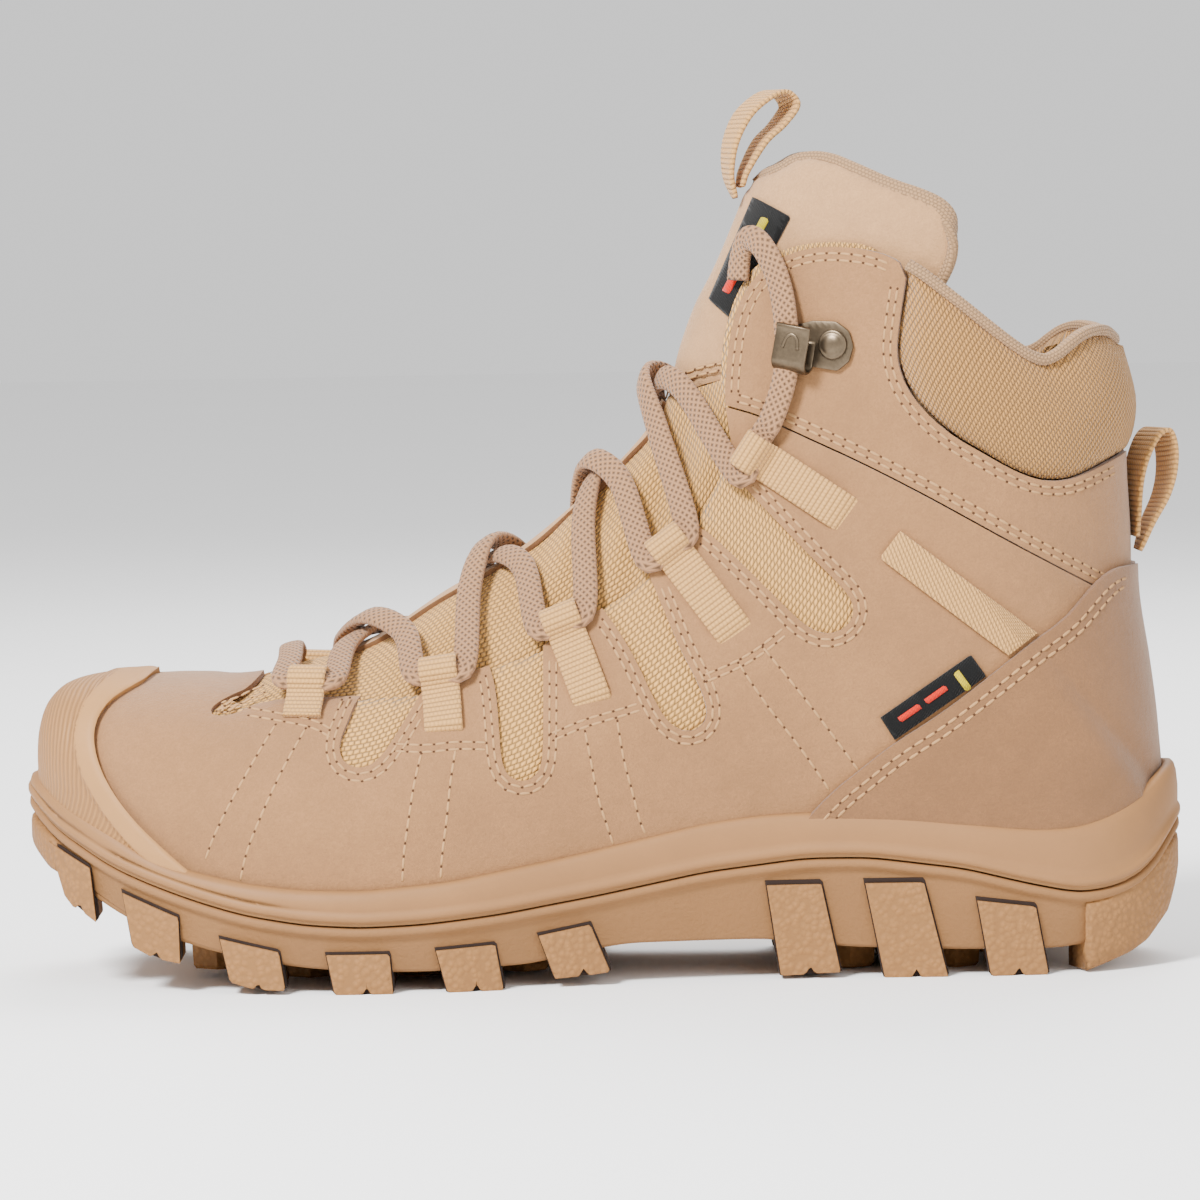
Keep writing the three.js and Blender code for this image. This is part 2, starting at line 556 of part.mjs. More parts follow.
const wallRoom = wall.translate([0, 0, GAP]);
add('heel_foxing', overlayShell.intersect(both(foxingOutline())).subtract(wallRoom), NUBUCK);
add('toe_bumper', shell(GAP, GAP + BUMPER).intersect(both(bumperOutline())).subtract(wallRoom), RUBBER);

// Webbing that runs back over the quarter, and the woven label beside it.
const rearWebbing = [[79, 118], [114.5, 90.4], [106.8, 84.8], [73.5, 111]];
SIDES.forEach(([side, word]) => {
  add(`rear_webbing_${word}`, webbingShell.intersect(half(rearWebbing, side)), WEB);
});
const sideLabel = [[72.6, 69.6], [96.4, 85.8], [100.2, 80.4], [76, 63.9]];
add('side_label', shell(GAP, GAP + 0.8).intersect(half(sideLabel, -1)), BLACK);

// ---- tongue ---------------------------------------------------------------------------------------
const tongueShell = shell(-TONGUE_DEPTH, -TONGUE_DEPTH - TONGUE_THICKNESS);
add('tongue_lower', tongueShell.intersect(both(lowerTongueOutline())), CORDURA);
add('tongue_upper', tongueShell.intersect(both(upperTongueOutline())), NUBUCK);
const liningInset = [[16, 161.5], [27, 163], [48, 163], [64, 169], [77, 177], [85, 185], [88.5, 194.5], [88, 198.5],
  [74, 205], [58, 214.5], [52, 215], [36, 206], [0, 200]];
const tongueBack = -TONGUE_DEPTH - TONGUE_THICKNESS - GAP;
add('tongue_lining', shell(tongueBack, tongueBack - TEXTILE).intersect(both(liningInset)), KNIT);
const labelFace = -TONGUE_DEPTH + GAP;
const tongueLabel = [[20, 179], [28.2, 178], [35.2, 173.8], [49.6, 200.4], [40.4, 205], [30, 208]];
add('tongue_label', shell(labelFace, labelFace + 0.7).intersect(both(tongueLabel)), BLACK);

// A flat strap bent in its own plane: its middle line given as points, swept through its width.
function ribbon(points, thickness, width) {
  const line = points.map(([x, z]) => new THREE.Vector2(x, z));
  const left = [];
  const right = [];
  line.forEach((p, i) => {
    const run = line[Math.min(i + 1, line.length - 1)].clone().sub(line[Math.max(i - 1, 0)]).normalize();
    const out = new THREE.Vector2(-run.y, run.x).multiplyScalar(thickness / 2);
    left.push(p.clone().add(out));
    right.push(p.clone().sub(out));
  });
  const shape = new THREE.Shape([...left, ...right.reverse()]);
  const geometry = new THREE.ExtrudeGeometry(shape, { depth: width, bevelEnabled: false, steps: 1 });
  geometry.translate(0, 0, -width / 2);
  return geometry;
}

// Stands a ribbon in the boot's middle plane and keeps its foot on the upper as the length changes.
function inSideView(geometry, foot) {
  geometry.rotateX(Math.PI / 2);
  geometry.translate(foot[0] * (k - 1), 0, 0);
  return toSolid(geometry);
}

// A smooth list of points through a few chosen ones.
const smoothLine = (points, count) => new THREE.SplineCurve(points.map(([x, z]) => new THREE.Vector2(x, z)))
  .getPoints(count).map((p) => [p.x, p.y]);

const TONGUE_PULL = [[38, 205.6], [36.2, 212], [37, 220.5], [41, 228], [47.5, 232.8], [52, 233.5], [54.4, 230],
  [50.5, 225], [45.3, 220.4], [40.7, 213], [39.4, 208.6]];
const HEEL_PULL = [[144.6, 109.5], [147.6, 117], [151.4, 124], [153.4, 130.5], [153.7, 137], [152, 141.4],
  [148.6, 140.4], [145.4, 135], [143.7, 128], [143.5, 119], [143.5, 113.5]];
const PULL_STEPS = 22;
[['tongue_pull', TONGUE_PULL], ['heel_pull', HEEL_PULL]].forEach(([name, points]) => {
  const strap = ribbon(smoothLine(points, PULL_STEPS), WEBBING, PULL_WIDTH);
  add(name, inSideView(strap, points[0]), WEB);
});

// ---- lace loops and hooks -------------------------------------------------------------------------
// Foot and tip of each webbing loop in the side view, and how high its eye stands over the leather.
const LOOPS = [
  [[-79, 71.8], [-76.4, 83], 1.7],
  [[-41.5, 67.3], [-42.5, 86], 1.7],
  [[-2, 73.6], [-11.2, 99], 1.6],
  [[36.5, 90.2], [16, 117.6], 1.6],
  [[66.5, 121.3], [38, 140.6], 2.4],
];
const EYE_MIDDLE = EYE_RADIUS + WEBBING / 2;
const RAMP = 8;

function loopFrame([foot, tip, rise], side) {
  const reach = Math.hypot(tip[0] - foot[0], tip[1] - foot[1]);
  const eye = tip.map((v, i) => v - ((v - foot[i]) / reach) * (EYE_MIDDLE + WEBBING / 2));
  const [s, t] = fanAt(eye[0], eye[1]);
  const normal = baseNormal(s, side * t);
  const run = onSide(eye[0], eye[1], side, 0).sub(onSide(foot[0], foot[1], side, 0));
  const forward = run.sub(normal.clone().multiplyScalar(run.dot(normal))).normalize();
  const across = new THREE.Vector3().crossVectors(forward, normal);
  return { eye, origin: basePoint(s, side * t), normal, forward, across, rise, s, t: side * t };
}

const placed = (geometry, { origin, normal, forward, across }) => geometry.applyMatrix4(
  new THREE.Matrix4().makeBasis(forward, normal, across).setPosition(origin),
);

function strapOutline([foot, tip], eye) {
  const reach = Math.hypot(tip[0] - foot[0], tip[1] - foot[1]);
  const side = [-(tip[1] - foot[1]) / reach, (tip[0] - foot[0]) / reach].map((v) => (v * LOOP_WIDTH) / 2);
  const end = eye.map((v, i) => v - ((tip[i] - foot[i]) / reach) * (RAMP - 2.4));
  return [
    [foot[0] - side[0], foot[1] - side[1]], [end[0] - side[0], end[1] - side[1]],
    [end[0] + side[0], end[1] + side[1]], [foot[0] + side[0], foot[1] + side[1]],
  ];
}

const vampRoom = leatherRoom.intersect(both(vampOutline()));
const eyes = {};
const notches = [];
SIDES.forEach(([side, word]) => {
  eyes[side] = LOOPS.map((loop, i) => {
    const frame = loopFrame(loop, side);
    const lie = GAP + WEBBING / 2;
    const top = frame.rise + EYE_MIDDLE;
    const turn = Array.from({ length: 9 }, (_, n) => Math.PI * (0.5 - n / 8));
    const line = [[-RAMP, lie], [-RAMP + 2, lie + 0.1], [-2.4, top - 0.5],
      ...turn.map((a) => [EYE_MIDDLE * Math.cos(a), frame.rise + EYE_MIDDLE * Math.sin(a)])];
    const curl = toSolid(placed(ribbon(line, WEBBING, LOOP_WIDTH), frame));
    notches.push(toSolid(placed(ribbon(line.slice(2), WEBBING + 2 * GAP, LOOP_WIDTH + 2 * GAP), frame)));
    const strap = webbingShell.intersect(half(strapOutline(loop, frame.eye), side));
    add(`lace_loop_${word}_${i + 1}`, strap.add(curl).subtract(vampRoom), WEB);
    return frame;
  });
});

const HOOK_AT = [54, 167];
const RIVET_AT = [62.6, 166.9];
const HOOK_THICKNESS = 1;
const ankleRoom = leatherRoom.intersect(both(ankleOutline()));
const anklePanels = {};

function surfaceFrame([x, z], side) {
  const [s, t] = fanAt(x, z);
  const normal = baseNormal(s, side * t);
  const forward = new THREE.Vector3(0, 1, 0).cross(normal).normalize();
  const across = new THREE.Vector3().crossVectors(forward, normal);
  return { origin: basePoint(s, side * t), normal, forward, across };
}

function disc(radius, from, to, sides, frame) {
  const geometry = new THREE.CylinderGeometry(radius, radius, to - from, sides);
  geometry.translate(0, (from + to) / 2, 0);
  return toSolid(placed(geometry, frame));
}

const drills = [];
SIDES.forEach(([side, word]) => {
  const frame = surfaceFrame(HOOK_AT, side);
  const flip = Math.sign(frame.forward.x) * -1;
  frame.forward.multiplyScalar(flip);
  frame.across.multiplyScalar(flip);
  const lie = GAP + 0.3 + HOOK_THICKNESS / 2;
  const bend = 2.75;
  const arc = Array.from({ length: 7 }, (_, n) => Math.PI * (n / 6 - 0.5));
  const turn = arc.map((a) => [3 + bend * Math.cos(a), lie + bend + bend * Math.sin(a)]);
  const line = [[-13, lie], [2.6, lie], ...turn,
    [-1, lie + 2 * bend], [-3.6, lie + 2 * bend + 0.7]];
  const claw = toSolid(placed(ribbon(line, HOOK_THICKNESS, 8.4), frame));
  const rivetFrame = surfaceFrame(RIVET_AT, side);
  const drill = disc(1.9, -6, 6, 12, rivetFrame);
  drills.push(drill);
  add(`lace_hook_${word}`, claw.subtract(ankleRoom).subtract(drill), NICKEL);
  const headFoot = lie + HOOK_THICKNESS / 2 + GAP + 0.1;
  const rivet = disc(RIVET_RADIUS, headFoot, headFoot + 1.3, 16, rivetFrame)
    .add(disc(RIVET_RADIUS * 0.7, headFoot + 1, headFoot + 1.9, 16, rivetFrame))
    .add(disc(1.5, -3.4, headFoot + 1, 12, rivetFrame));
  add(`hook_rivet_${word}`, rivet, NICKEL);
});
function cutAll(pattern, tools) {
  boot.children.filter((mesh) => pattern.test(mesh.name)).forEach((mesh) => {
    const cut = tools.reduce((solid, tool) => solid.subtract(tool), toSolid(mesh.geometry));
    mesh.geometry = toGeometry(largestBody(cut));
  });
}
cutAll(/^ankle_/, drills);
cutAll(/^side_textile_/, notches);

// ---- lace: one piece, held all the way ------------------------------------------------------------
const ON_TONGUE = -TONGUE_DEPTH + GAP + LACE_RADIUS + 1.1;
const LACE_STEP = 6.6;
const CROSSING_LIFT = 2 * LACE_RADIUS + 1.1;
const BAR_REACH = 5.4;
const through = (side, i) => {
  const { origin, normal, across, rise } = eyes[side][i];
  const sign = across.x > 0 ? 1 : -1;
  const centre = origin.clone().addScaledVector(normal, rise);
  return [-LACE_STEP, 0, LACE_STEP].map((d) => centre.clone().addScaledVector(across, d * sign));
};
const overTongue = (from, to, lift) => [0.27, 0.5, 0.73].map((f) => {
  const bump = f === 0.5 ? lift : lift * 0.35;
  return offsetPoint(from.s + (to.s - from.s) * f, from.t + (to.t - from.t) * f, ON_TONGUE + bump);
});

// The end stretch from the top loop through the hook and over the panel's front corner.
function upToHook(side) {
  return [[46.8, 147, 3.2], [49.8, 155, 3.2], [51.6, 162, 3.9], [51.8, 167, 3.9], [51.8, 172, 3.9],
    [50.6, 180, 2.8], [48.6, 187.5, 2.8], [45.4, 193.4, 2.8], [41.6, 194.6, 1.6], [39, 190.5, 0.2], [37.8, 184, -0.3]]
    .map(([x, z, height]) => onSide(x, z, side, height));
}

function laceRoute() {
  const points = [];
  [4, 3, 2, 1, 0].forEach((i) => {
    const side = i % 2 === 0 ? -1 : 1;
    points.push(...through(side, i).reverse());
    if (i > 0) points.push(...overTongue(eyes[side][i], eyes[-side][i - 1], 0));
  });
  const start = upToHook(-1).reverse();
  const first = eyes[-1][0];
  const second = eyes[1][0];
  const bar = [0.25, 0.5, 0.75].map((f) => {
    const place = offsetPoint(first.s, first.t + (second.t - first.t) * f, ON_TONGUE + 0.2);
    return place.add(new THREE.Vector3(-BAR_REACH, 0, 0));
  });
  const back = [];
  [0, 1, 2, 3, 4].forEach((i) => {
    const side = i % 2 === 0 ? 1 : -1;
    back.push(...through(side, i));
    if (i < 4) back.push(...overTongue(eyes[side][i], eyes[-side][i + 1], CROSSING_LIFT));
  });
  return [...start, ...points, ...bar, ...back, ...upToHook(1)];
}
// The lace turns at each chosen point, so the route is walked point by point.
class Route extends THREE.Curve {
  constructor(points) {
    super();
    this.points = points;
  }

  getPoint(f, target = new THREE.Vector3()) {
    const at = Math.min(Math.max(f, 0), 1) * (this.points.length - 1);
    const i = Math.min(Math.floor(at), this.points.length - 2);
    return target.copy(this.points[i]).lerp(this.points[i + 1], at - i);
  }

  getPointAt(f, target) {
    return this.getPoint(f, target);
  }

  getTangentAt(f, target = new THREE.Vector3()) {
    const step = 0.5 / (this.points.length - 1);
    return target.copy(this.getPoint(f + step)).sub(this.getPoint(f - step)).normalize();
  }
}
const laceCurve = new Route(laceRoute());
function laceTube(radius) {
  const octagon = new THREE.Shape(Array.from({ length: 8 }, (_, n) => {
    const a = (Math.PI * (n + 0.5)) / 4;
    return new THREE.Vector2(Math.cos(a), Math.sin(a)).multiplyScalar(radius);
  }));
  const steps = laceCurve.points.length - 1;
  return toSolid(new THREE.ExtrudeGeometry(octagon, { steps, extrudePath: laceCurve }));
}
add('lace', laceTube(LACE_RADIUS), paint(0xad8e79, 0.9));
cutAll(/^lace_(loop|hook)_/, [laceTube(LACE_RADIUS + GAP)]);

// ---- sole unit and what lies on it ------------------------------------------------------------------
const PLATE_INSET = 8;
const BOARD_INSET = 15;
const PLATE_TOP = -0.8;
const room = filledFan(GAP);
const shankLine = [-15, 5, 28, 52, 75].map((x) => x * k);
const shankOutline = (grow) => [
  ...shankLine.map((x) => [x, along(SEAT, x) + PLATE_TOP - PLATE - 2 * GAP + (grow ? 6 : 0)]),
  ...shankLine.slice().reverse().map((x) => [x, along(SEAT, x) + PLATE_TOP - PLATE - 2 * GAP - SHANK - grow]),
].map(([x, z], i) => [x + (i === 0 || i === 9 ? -grow : 0) + (i === 4 || i === 5 ? grow : 0), z]);
const plateSpan = (inset, low, high) => soleLoft([
  [WALL_WIDTH + inset, height(SEAT, low)], [WALL_WIDTH + inset, height(SEAT, high)],
]);
const midsole = wall.subtract(room).subtract(room.translate([0, 0, -GAP]))
  .subtract(plateSpan(PLATE_INSET - GAP, PLATE_TOP - PLATE - GAP, 8))
  .subtract(prism(shankOutline(GAP), -9 - GAP, 5 + GAP));
add('midsole', midsole, RUBBER);
add('puncture_plate', plateSpan(PLATE_INSET, PLATE_TOP - PLATE, PLATE_TOP), STEEL);
add('shank', prism(shankOutline(0), -9, 5), STEEL);
add('insole_board', plateSpan(BOARD_INSET - WALL_WIDTH, GAP, GAP + BOARD), FIBRE);
const footbedLow = 2 * GAP + BOARD;
const footbed = plateSpan(BOARD_INSET - WALL_WIDTH + FOOTBED_PLAY, footbedLow, footbedLow + FOOTBED);
add('footbed', footbed, paint(0x3a3a3c, 0.9));

// Side lugs in the side view, each with the small notch in its foot.
const LUGS = [
  [[-148, 38], [-136, 32], [-134.5, 17.7], [-138, 20], [-139, 22.4], [-140.6, 20.8], [-143.5, 24]],
  [[-127, 26], [-112, 20], [-111.8, 8], [-117, 9], [-118, 11], [-119.5, 9.6], [-124.5, 12]],
  [[-101, 14.6], [-85.5, 11.2], [-84, 1.2], [-90, 1.4], [-91, 3.2], [-92.4, 1.6], [-98.5, 3.4]],
  [[-73, 10.4], [-56.6, 10.4], [-55.8, 0], [-61.5, 0], [-62.6, 2], [-63.8, 0], [-71, 0]],
  [[-44.4, 11], [-29, 12], [-27, 0], [-32.8, 0], [-34, 2], [-35.2, 0], [-41.6, 0]],
  [[-17.6, 13.8], [-4, 16.2], [1, 3.6], [-4.6, 3], [-6, 4.8], [-7.2, 2.8], [-13.5, 2.4]],
  [[42.6, 25], [57, 25], [61.8, 1.6], [55, 1.4], [53.8, 3.4], [52.4, 1.2], [46, 1]],
  [[68.6, 25], [84, 25], [90, 0], [83, 0], [81.8, 2.2], [80.4, 0], [73.4, 0]],
  [[98, 20], [113.4, 18], [116.6, 0], [110, 0], [108.8, 2.2], [107.4, 0], [101.4, 0]],
];
const TOE_LUG = [[-170, 48], [-152.5, 43], [-146.5, 36], [-145.6, 30.4], [-148.5, 28.6], [-170, 41]];
const HEEL_LUG = [[125, 18], [134, 20], [150, 30], [170, 36], [170, 27], [155, 25], [151, 13.4], [145, 7.2],
  [140, 5], [127.6, 1]];
// Studs under the middle of the foot: where they stand and how far their feet are off the ground.
const STUDS = [[-104, 2.4], [-79, 0], [-50, 0], [-22, 1], [65, 0.4], [93, 0]];
const STUD_RADIUS = 8;
const STUD_OFFSET = 11;
const trim = soleLoft([[0.9, () => -5], [0.1, height(BEAD, -1)]]);
const core = soleLoft([[LUG_DEPTH, () => -6], [LUG_DEPTH, height(BEAD, 6)]]);
let lugs = both(TOE_LUG).add(both(HEEL_LUG));
LUGS.forEach((lug) => {
  lugs = lugs.add(both(lug));
});
lugs = lugs.subtract(core).intersect(trim);
STUDS.forEach(([x, low]) => {
  const y = along(CENTRE, x);
  const top = along(CARRIER, x * k) + 1;
  [-1, 1].forEach((side) => {
    const hexagon = new THREE.CylinderGeometry(STUD_RADIUS, STUD_RADIUS - 1, top - low, 6);
    hexagon.rotateX(Math.PI / 2);
    hexagon.translate(x * k, (y + side * STUD_OFFSET) * kw, (top + low) / 2);
    lugs = lugs.add(toSolid(hexagon));
  });
});
const outsole = soleLoft([
  [1.9, height(CARRIER, 0)],
  [0.3, height(BEAD, -2.2)],
  [0, height(BEAD, -0.35)],
  [CUP, height(BEAD, -0.35)],
  [CUP, height(CARRIER, FLOOR)],
]).add(lugs);
const cupRoom = soleLoft([[CUP, height(CARRIER, FLOOR)], [CUP, height(BEAD, 6)]]);
add('outsole', outsole.subtract(cupRoom), RUBBER);

export default boot;
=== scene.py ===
"""Left steel toe work boot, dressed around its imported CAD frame.

Lengths are millimetres up to new_object(), which turns them into metres. The upper's pieces lie on the
same fan of sections as in the CAD: s counts the sections from the toe (0) to the collar (25), and t goes
around a section from the lateral foot (-1) over the top line (0) to the medial foot (1).
"""
import math

import bmesh
import bpy
import numpy as np
from mathutils import Matrix, Vector, geometry


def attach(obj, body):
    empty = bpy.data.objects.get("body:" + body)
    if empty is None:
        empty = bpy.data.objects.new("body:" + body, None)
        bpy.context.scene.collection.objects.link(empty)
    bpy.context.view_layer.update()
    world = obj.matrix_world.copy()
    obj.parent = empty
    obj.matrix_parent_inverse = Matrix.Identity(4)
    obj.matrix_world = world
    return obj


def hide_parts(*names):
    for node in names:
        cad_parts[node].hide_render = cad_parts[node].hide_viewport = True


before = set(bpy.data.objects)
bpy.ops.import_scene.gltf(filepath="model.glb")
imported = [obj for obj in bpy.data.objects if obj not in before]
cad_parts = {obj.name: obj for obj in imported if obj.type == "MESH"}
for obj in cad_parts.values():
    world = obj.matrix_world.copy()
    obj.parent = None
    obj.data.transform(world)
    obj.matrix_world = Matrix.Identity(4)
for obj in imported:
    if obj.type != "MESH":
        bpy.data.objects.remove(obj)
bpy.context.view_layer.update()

MM = 0.001
ROOT = "boot"
FLAP = "tongue_flap"
SIDES = ((-1, "lateral"), (1, "medial"))

# ---- sole plan and heights, millimetres -----------------------------------------------------------
SOLE_LENGTH = 310.0
WALL_WIDTH = 4.9
TOE_ROUND = 45.0
HEEL_ROUND = 37.0
HALF_WIDTH = [(-155, 41), (-135, 43.5), (-112, 48.4), (-92, 52.6), (-75, 53.7), (-62, 53.5), (-40, 50.5),
              (-18, 45), (5, 40.2), (28, 36.9), (52, 35.8), (77, 36.4), (100, 37.6), (120, 36.5),
              (155, 34.5)]
CENTRE = [(-155, 8), (-135, 5), (-112, 2.6), (-85, 1), (-62, -0.3), (-35, -2), (0, -3), (35, -2.4),
          (65, -1.5), (120, -0.6), (155, 0)]
WALL_TOP = [(-155, 55.5), (-149, 51.5), (-141, 47), (-131.5, 42), (-123.5, 37.3), (-116.5, 34),
            (-106, 31.2), (-95.5, 29), (-80.5, 27.2), (-62.5, 26.8), (-40, 28.6), (-11, 33.6),
            (13.5, 38.7), (27, 41.6), (40.5, 43.3), (54.5, 43.8), (78.5, 42.5), (95.5, 40.4), (110, 38.6),
            (123, 38.2), (132, 39.8), (142.5, 44.6), (150, 50), (155, 54)]
BEAD = [(-155, 50), (-148, 42.5), (-139, 37.7), (-131, 33), (-120, 28.7), (-106, 24), (-95, 21),
        (-79, 18.4), (-64, 17.5), (-48, 18), (-27, 20), (0, 24.2), (27, 29.1), (53, 32), (70, 31.9),
        (95, 28.6), (113, 24), (126, 21.4), (138, 23), (147, 28), (153, 37), (155, 40)]
CARRIER = [(-155, 42), (-148, 33), (-138, 26), (-128, 20), (-115, 14.5), (-101, 10.5), (-81, 7), (-64, 5.6),
           (-46, 5.3), (-20, 6.2), (-5, 9), (5, 10.6), (42, 10.6), (64, 8), (90, 7), (120, 6.6), (135, 9),
           (146, 16), (155, 27)]

# ---- upper: the same fan of sections as the CAD, x z of foot, x z of top, half width, level, shapes ---
FAN = np.array([
    [-149.5, 47.5, -149.6, 60, 38, 0.35, 0.6, 0.6], [-147.5, 46.2, -149.2, 66.5, 38, 0.35, 0.6, 0.6],
    [-142, 43.2, -146.5, 73, 38.6, 0.34, 0.62, 0.62], [-132, 38, -140, 77.6, 39.6, 0.33, 0.62, 0.62],
    [-119, 31.5, -128, 80.2, 42, 0.32, 0.62, 0.6], [-106, 26.5, -114, 81, 44, 0.3, 0.6, 0.58],
    [-92, 23.6, -99, 81.5, 47.4, 0.28, 0.55, 0.55], [-77, 21.9, -82, 87, 49.4, 0.27, 0.45, 0.5],
    [-60, 21.6, -62, 92.5, 49.6, 0.26, 0.36, 0.42], [-40, 23, -42, 105, 46.8, 0.26, 0.3, 0.36],
    [-18, 27, -25, 114, 42.8, 0.28, 0.28, 0.34], [5, 31, -8.2, 127, 39.8, 0.31, 0.28, 0.34],
    [28, 35.2, 3.3, 137.5, 38, 0.34, 0.3, 0.36], [52, 37, 12, 147.5, 37, 0.37, 0.34, 0.4],
    [77, 36, 16.2, 157.8, 37.3, 0.4, 0.38, 0.44], [102, 34, 19.3, 168.2, 38, 0.42, 0.42, 0.47],
    [123, 34.2, 23.3, 178.7, 38.8, 0.44, 0.45, 0.5], [139, 38, 28, 187.5, 39.4, 0.46, 0.48, 0.5],
    [147.6, 46, 31.5, 195, 39.6, 0.47, 0.5, 0.52], [147.6, 62, 34.5, 202, 39.4, 0.48, 0.52, 0.53],
    [145.6, 80, 37, 208, 39, 0.49, 0.54, 0.54], [143, 98, 39.5, 213, 39, 0.5, 0.55, 0.55],
    [142.6, 116, 42.5, 218, 39.5, 0.5, 0.55, 0.55], [141.8, 133, 46.5, 222.5, 40.5, 0.5, 0.55, 0.55],
    [142, 150, 52, 226, 41.5, 0.5, 0.55, 0.55], [139, 170, 60, 229.5, 42, 0.5, 0.55, 0.55]])
HEEL_ROW = 18
LAST_ROW = len(FAN) - 1
MIDDLE = 0.45
DENSE = 2500
TOE_CLOSING = 0.6
TOE_PLAY = 0.6
HEEL_PLAY = 2.5
EASING = ((-5, 0.15), (-2.5, 0.2), (0, 0.3), (2.5, 0.2), (5, 0.15))
SUPERELLIPSE = 2.3


def along(line, x):
    return np.interp(x, [p[0] for p in line], [p[1] for p in line])


def soft_along(line, x):
    """The line with its corners eased over a few millimetres."""
    return sum(along(line, np.asarray(x) + step) * weight for step, weight in EASING)


def plan_half(x, inset):
    tip = SOLE_LENGTH / 2 - inset
    toe = np.clip((TOE_ROUND - inset - tip - x) / (TOE_ROUND - inset), 0, 1)
    heel = np.clip((x - tip + HEEL_ROUND - inset) / (HEEL_ROUND - inset), 0, 1)
    ends = (1 - toe ** SUPERELLIPSE) ** (1 / SUPERELLIPSE) * np.sqrt(1 - heel * heel)
    return (soft_along(HALF_WIDTH, x) - inset) * ends


def knots(column, at):
    last = len(column) - 1
    i = np.clip(np.floor(at).astype(int), 0, last - 1)
    f = at - i
    p1, p2 = column[i], column[i + 1]
    p0 = np.where(i > 0, column[np.maximum(i - 1, 0)], 2 * p1 - p2)
    p3 = np.where(i + 2 <= last, column[np.minimum(i + 2, last)], 2 * p2 - p1)
    pull = (p2 - p0) * f + (2 * p0 - 5 * p1 + 4 * p2 - p3) * f ** 2 + (3 * p1 - p0 - 3 * p2 + p3) * f ** 3
    return p1 + pull / 2


def dense_sections():
    s = np.linspace(0, LAST_ROW, DENSE + 1)
    bx, bz, tx, tz, wide, level, shoulder, crown = [knots(FAN[:, c], s) for c in range(8)]
    foot = np.maximum(bx, -SOLE_LENGTH / 2 + WALL_WIDTH + TOE_PLAY)
    full = soft_along(HALF_WIDTH, foot) - WALL_WIDTH
    inner = np.minimum(foot, SOLE_LENGTH / 2 - WALL_WIDTH - HEEL_PLAY)
    round_toe = plan_half(foot, WALL_WIDTH) / full
    low = np.where(s >= HEEL_ROW, 0, plan_half(inner, WALL_WIDTH) * np.minimum(1, (HEEL_ROW - s) * 2.5))
    blend = np.sqrt(np.clip(s / TOE_CLOSING, 0, 1))
    low = low * blend
    wide = np.where(s < 5, wide * round_toe, wide) * blend
    centre = soft_along(CENTRE, foot) * np.where(s > 12, np.maximum(0, (HEEL_ROW - s) / 6), 1)
    return dict(s=s, bx=bx, bz=bz, tx=tx, tz=tz, wide=wide, level=level, shoulder=shoulder, crown=crown,
                low=low, centre=centre)


SECTIONS = dense_sections()


def section(s):
    return {key: np.interp(s, SECTIONS["s"], SECTIONS[key]) for key in SECTIONS}


def bezier(a, b, c, d, f):
    return a * (1 - f) ** 3 + 3 * b * f * (1 - f) ** 2 + 3 * c * f * f * (1 - f) + d * f ** 3


def profile(sec, q):
    f = np.clip(q / MIDDLE, 0, 1)
    g = np.clip((q - MIDDLE) / (1 - MIDDLE), 0, 1)
    rise = sec["wide"] - sec["low"]
    level, wide = sec["level"], sec["wide"]
    u_low = bezier(0, level * 0.18 * sec["low"] / (wide + 0.001), level * 0.45, level, f)
    w_low = bezier(sec["low"], sec["low"] + 0.55 * rise, wide, wide, f)
    u_top = bezier(level, level + sec["shoulder"] * (1 - level), 1, 1, g)
    w_top = bezier(wide, wide, sec["crown"] * wide, 0, g)
    return np.where(q < MIDDLE, u_low, u_top), np.where(q < MIDDLE, w_low, w_top)


def base(s, t):
    s, t = np.broadcast_arrays(np.asarray(s, float), np.asarray(t, float))
    sec = section(s)
    u, w = profile(sec, 1 - np.abs(t))
    x = sec["bx"] + (sec["tx"] - sec["bx"]) * u
    z = sec["bz"] + (sec["tz"] - sec["bz"]) * u
    return np.stack([x, sec["centre"] + np.sign(t) * w, z], -1)


def unit(vectors):
    return vectors / (np.linalg.norm(vectors, axis=-1, keepdims=True) + 1e-9)


def normal(s, t):
    """The surface's direction outward, turned level at the toe and down the sections at the heel."""
    s, t = np.broadcast_arrays(np.asarray(s, float), np.asarray(t, float))
    step_s, step_t = 0.02, 0.006
    ds = base(np.minimum(s + step_s, LAST_ROW), t) - base(np.maximum(s - step_s, 0.001), t)
    dt = base(s, np.minimum(t + step_t, 1)) - base(s, np.maximum(t - step_t, -1))
    n = unit(np.cross(ds, dt))
    sec = section(s)
    chord = unit(np.stack([sec["tx"] - sec["bx"], 0 * s, sec["tz"] - sec["bz"]], -1))
    tip = np.stack([-chord[..., 2], 0 * s, chord[..., 0]], -1)
    heel_share = np.clip((np.abs(t) - 0.985) / 0.012, 0, 1) * (s >= HEEL_ROW - 0.3)
    toe_share = np.clip((0.12 - s) / 0.1, 0, 1)
    n = n * (1 - heel_share[..., None]) - chord * heel_share[..., None]
    return unit(n * (1 - toe_share[..., None]) + tip * toe_share[..., None])


def surface(s, t, lift=0.0):
    return base(s, t) + normal(s, t) * np.asarray(lift)[..., None]


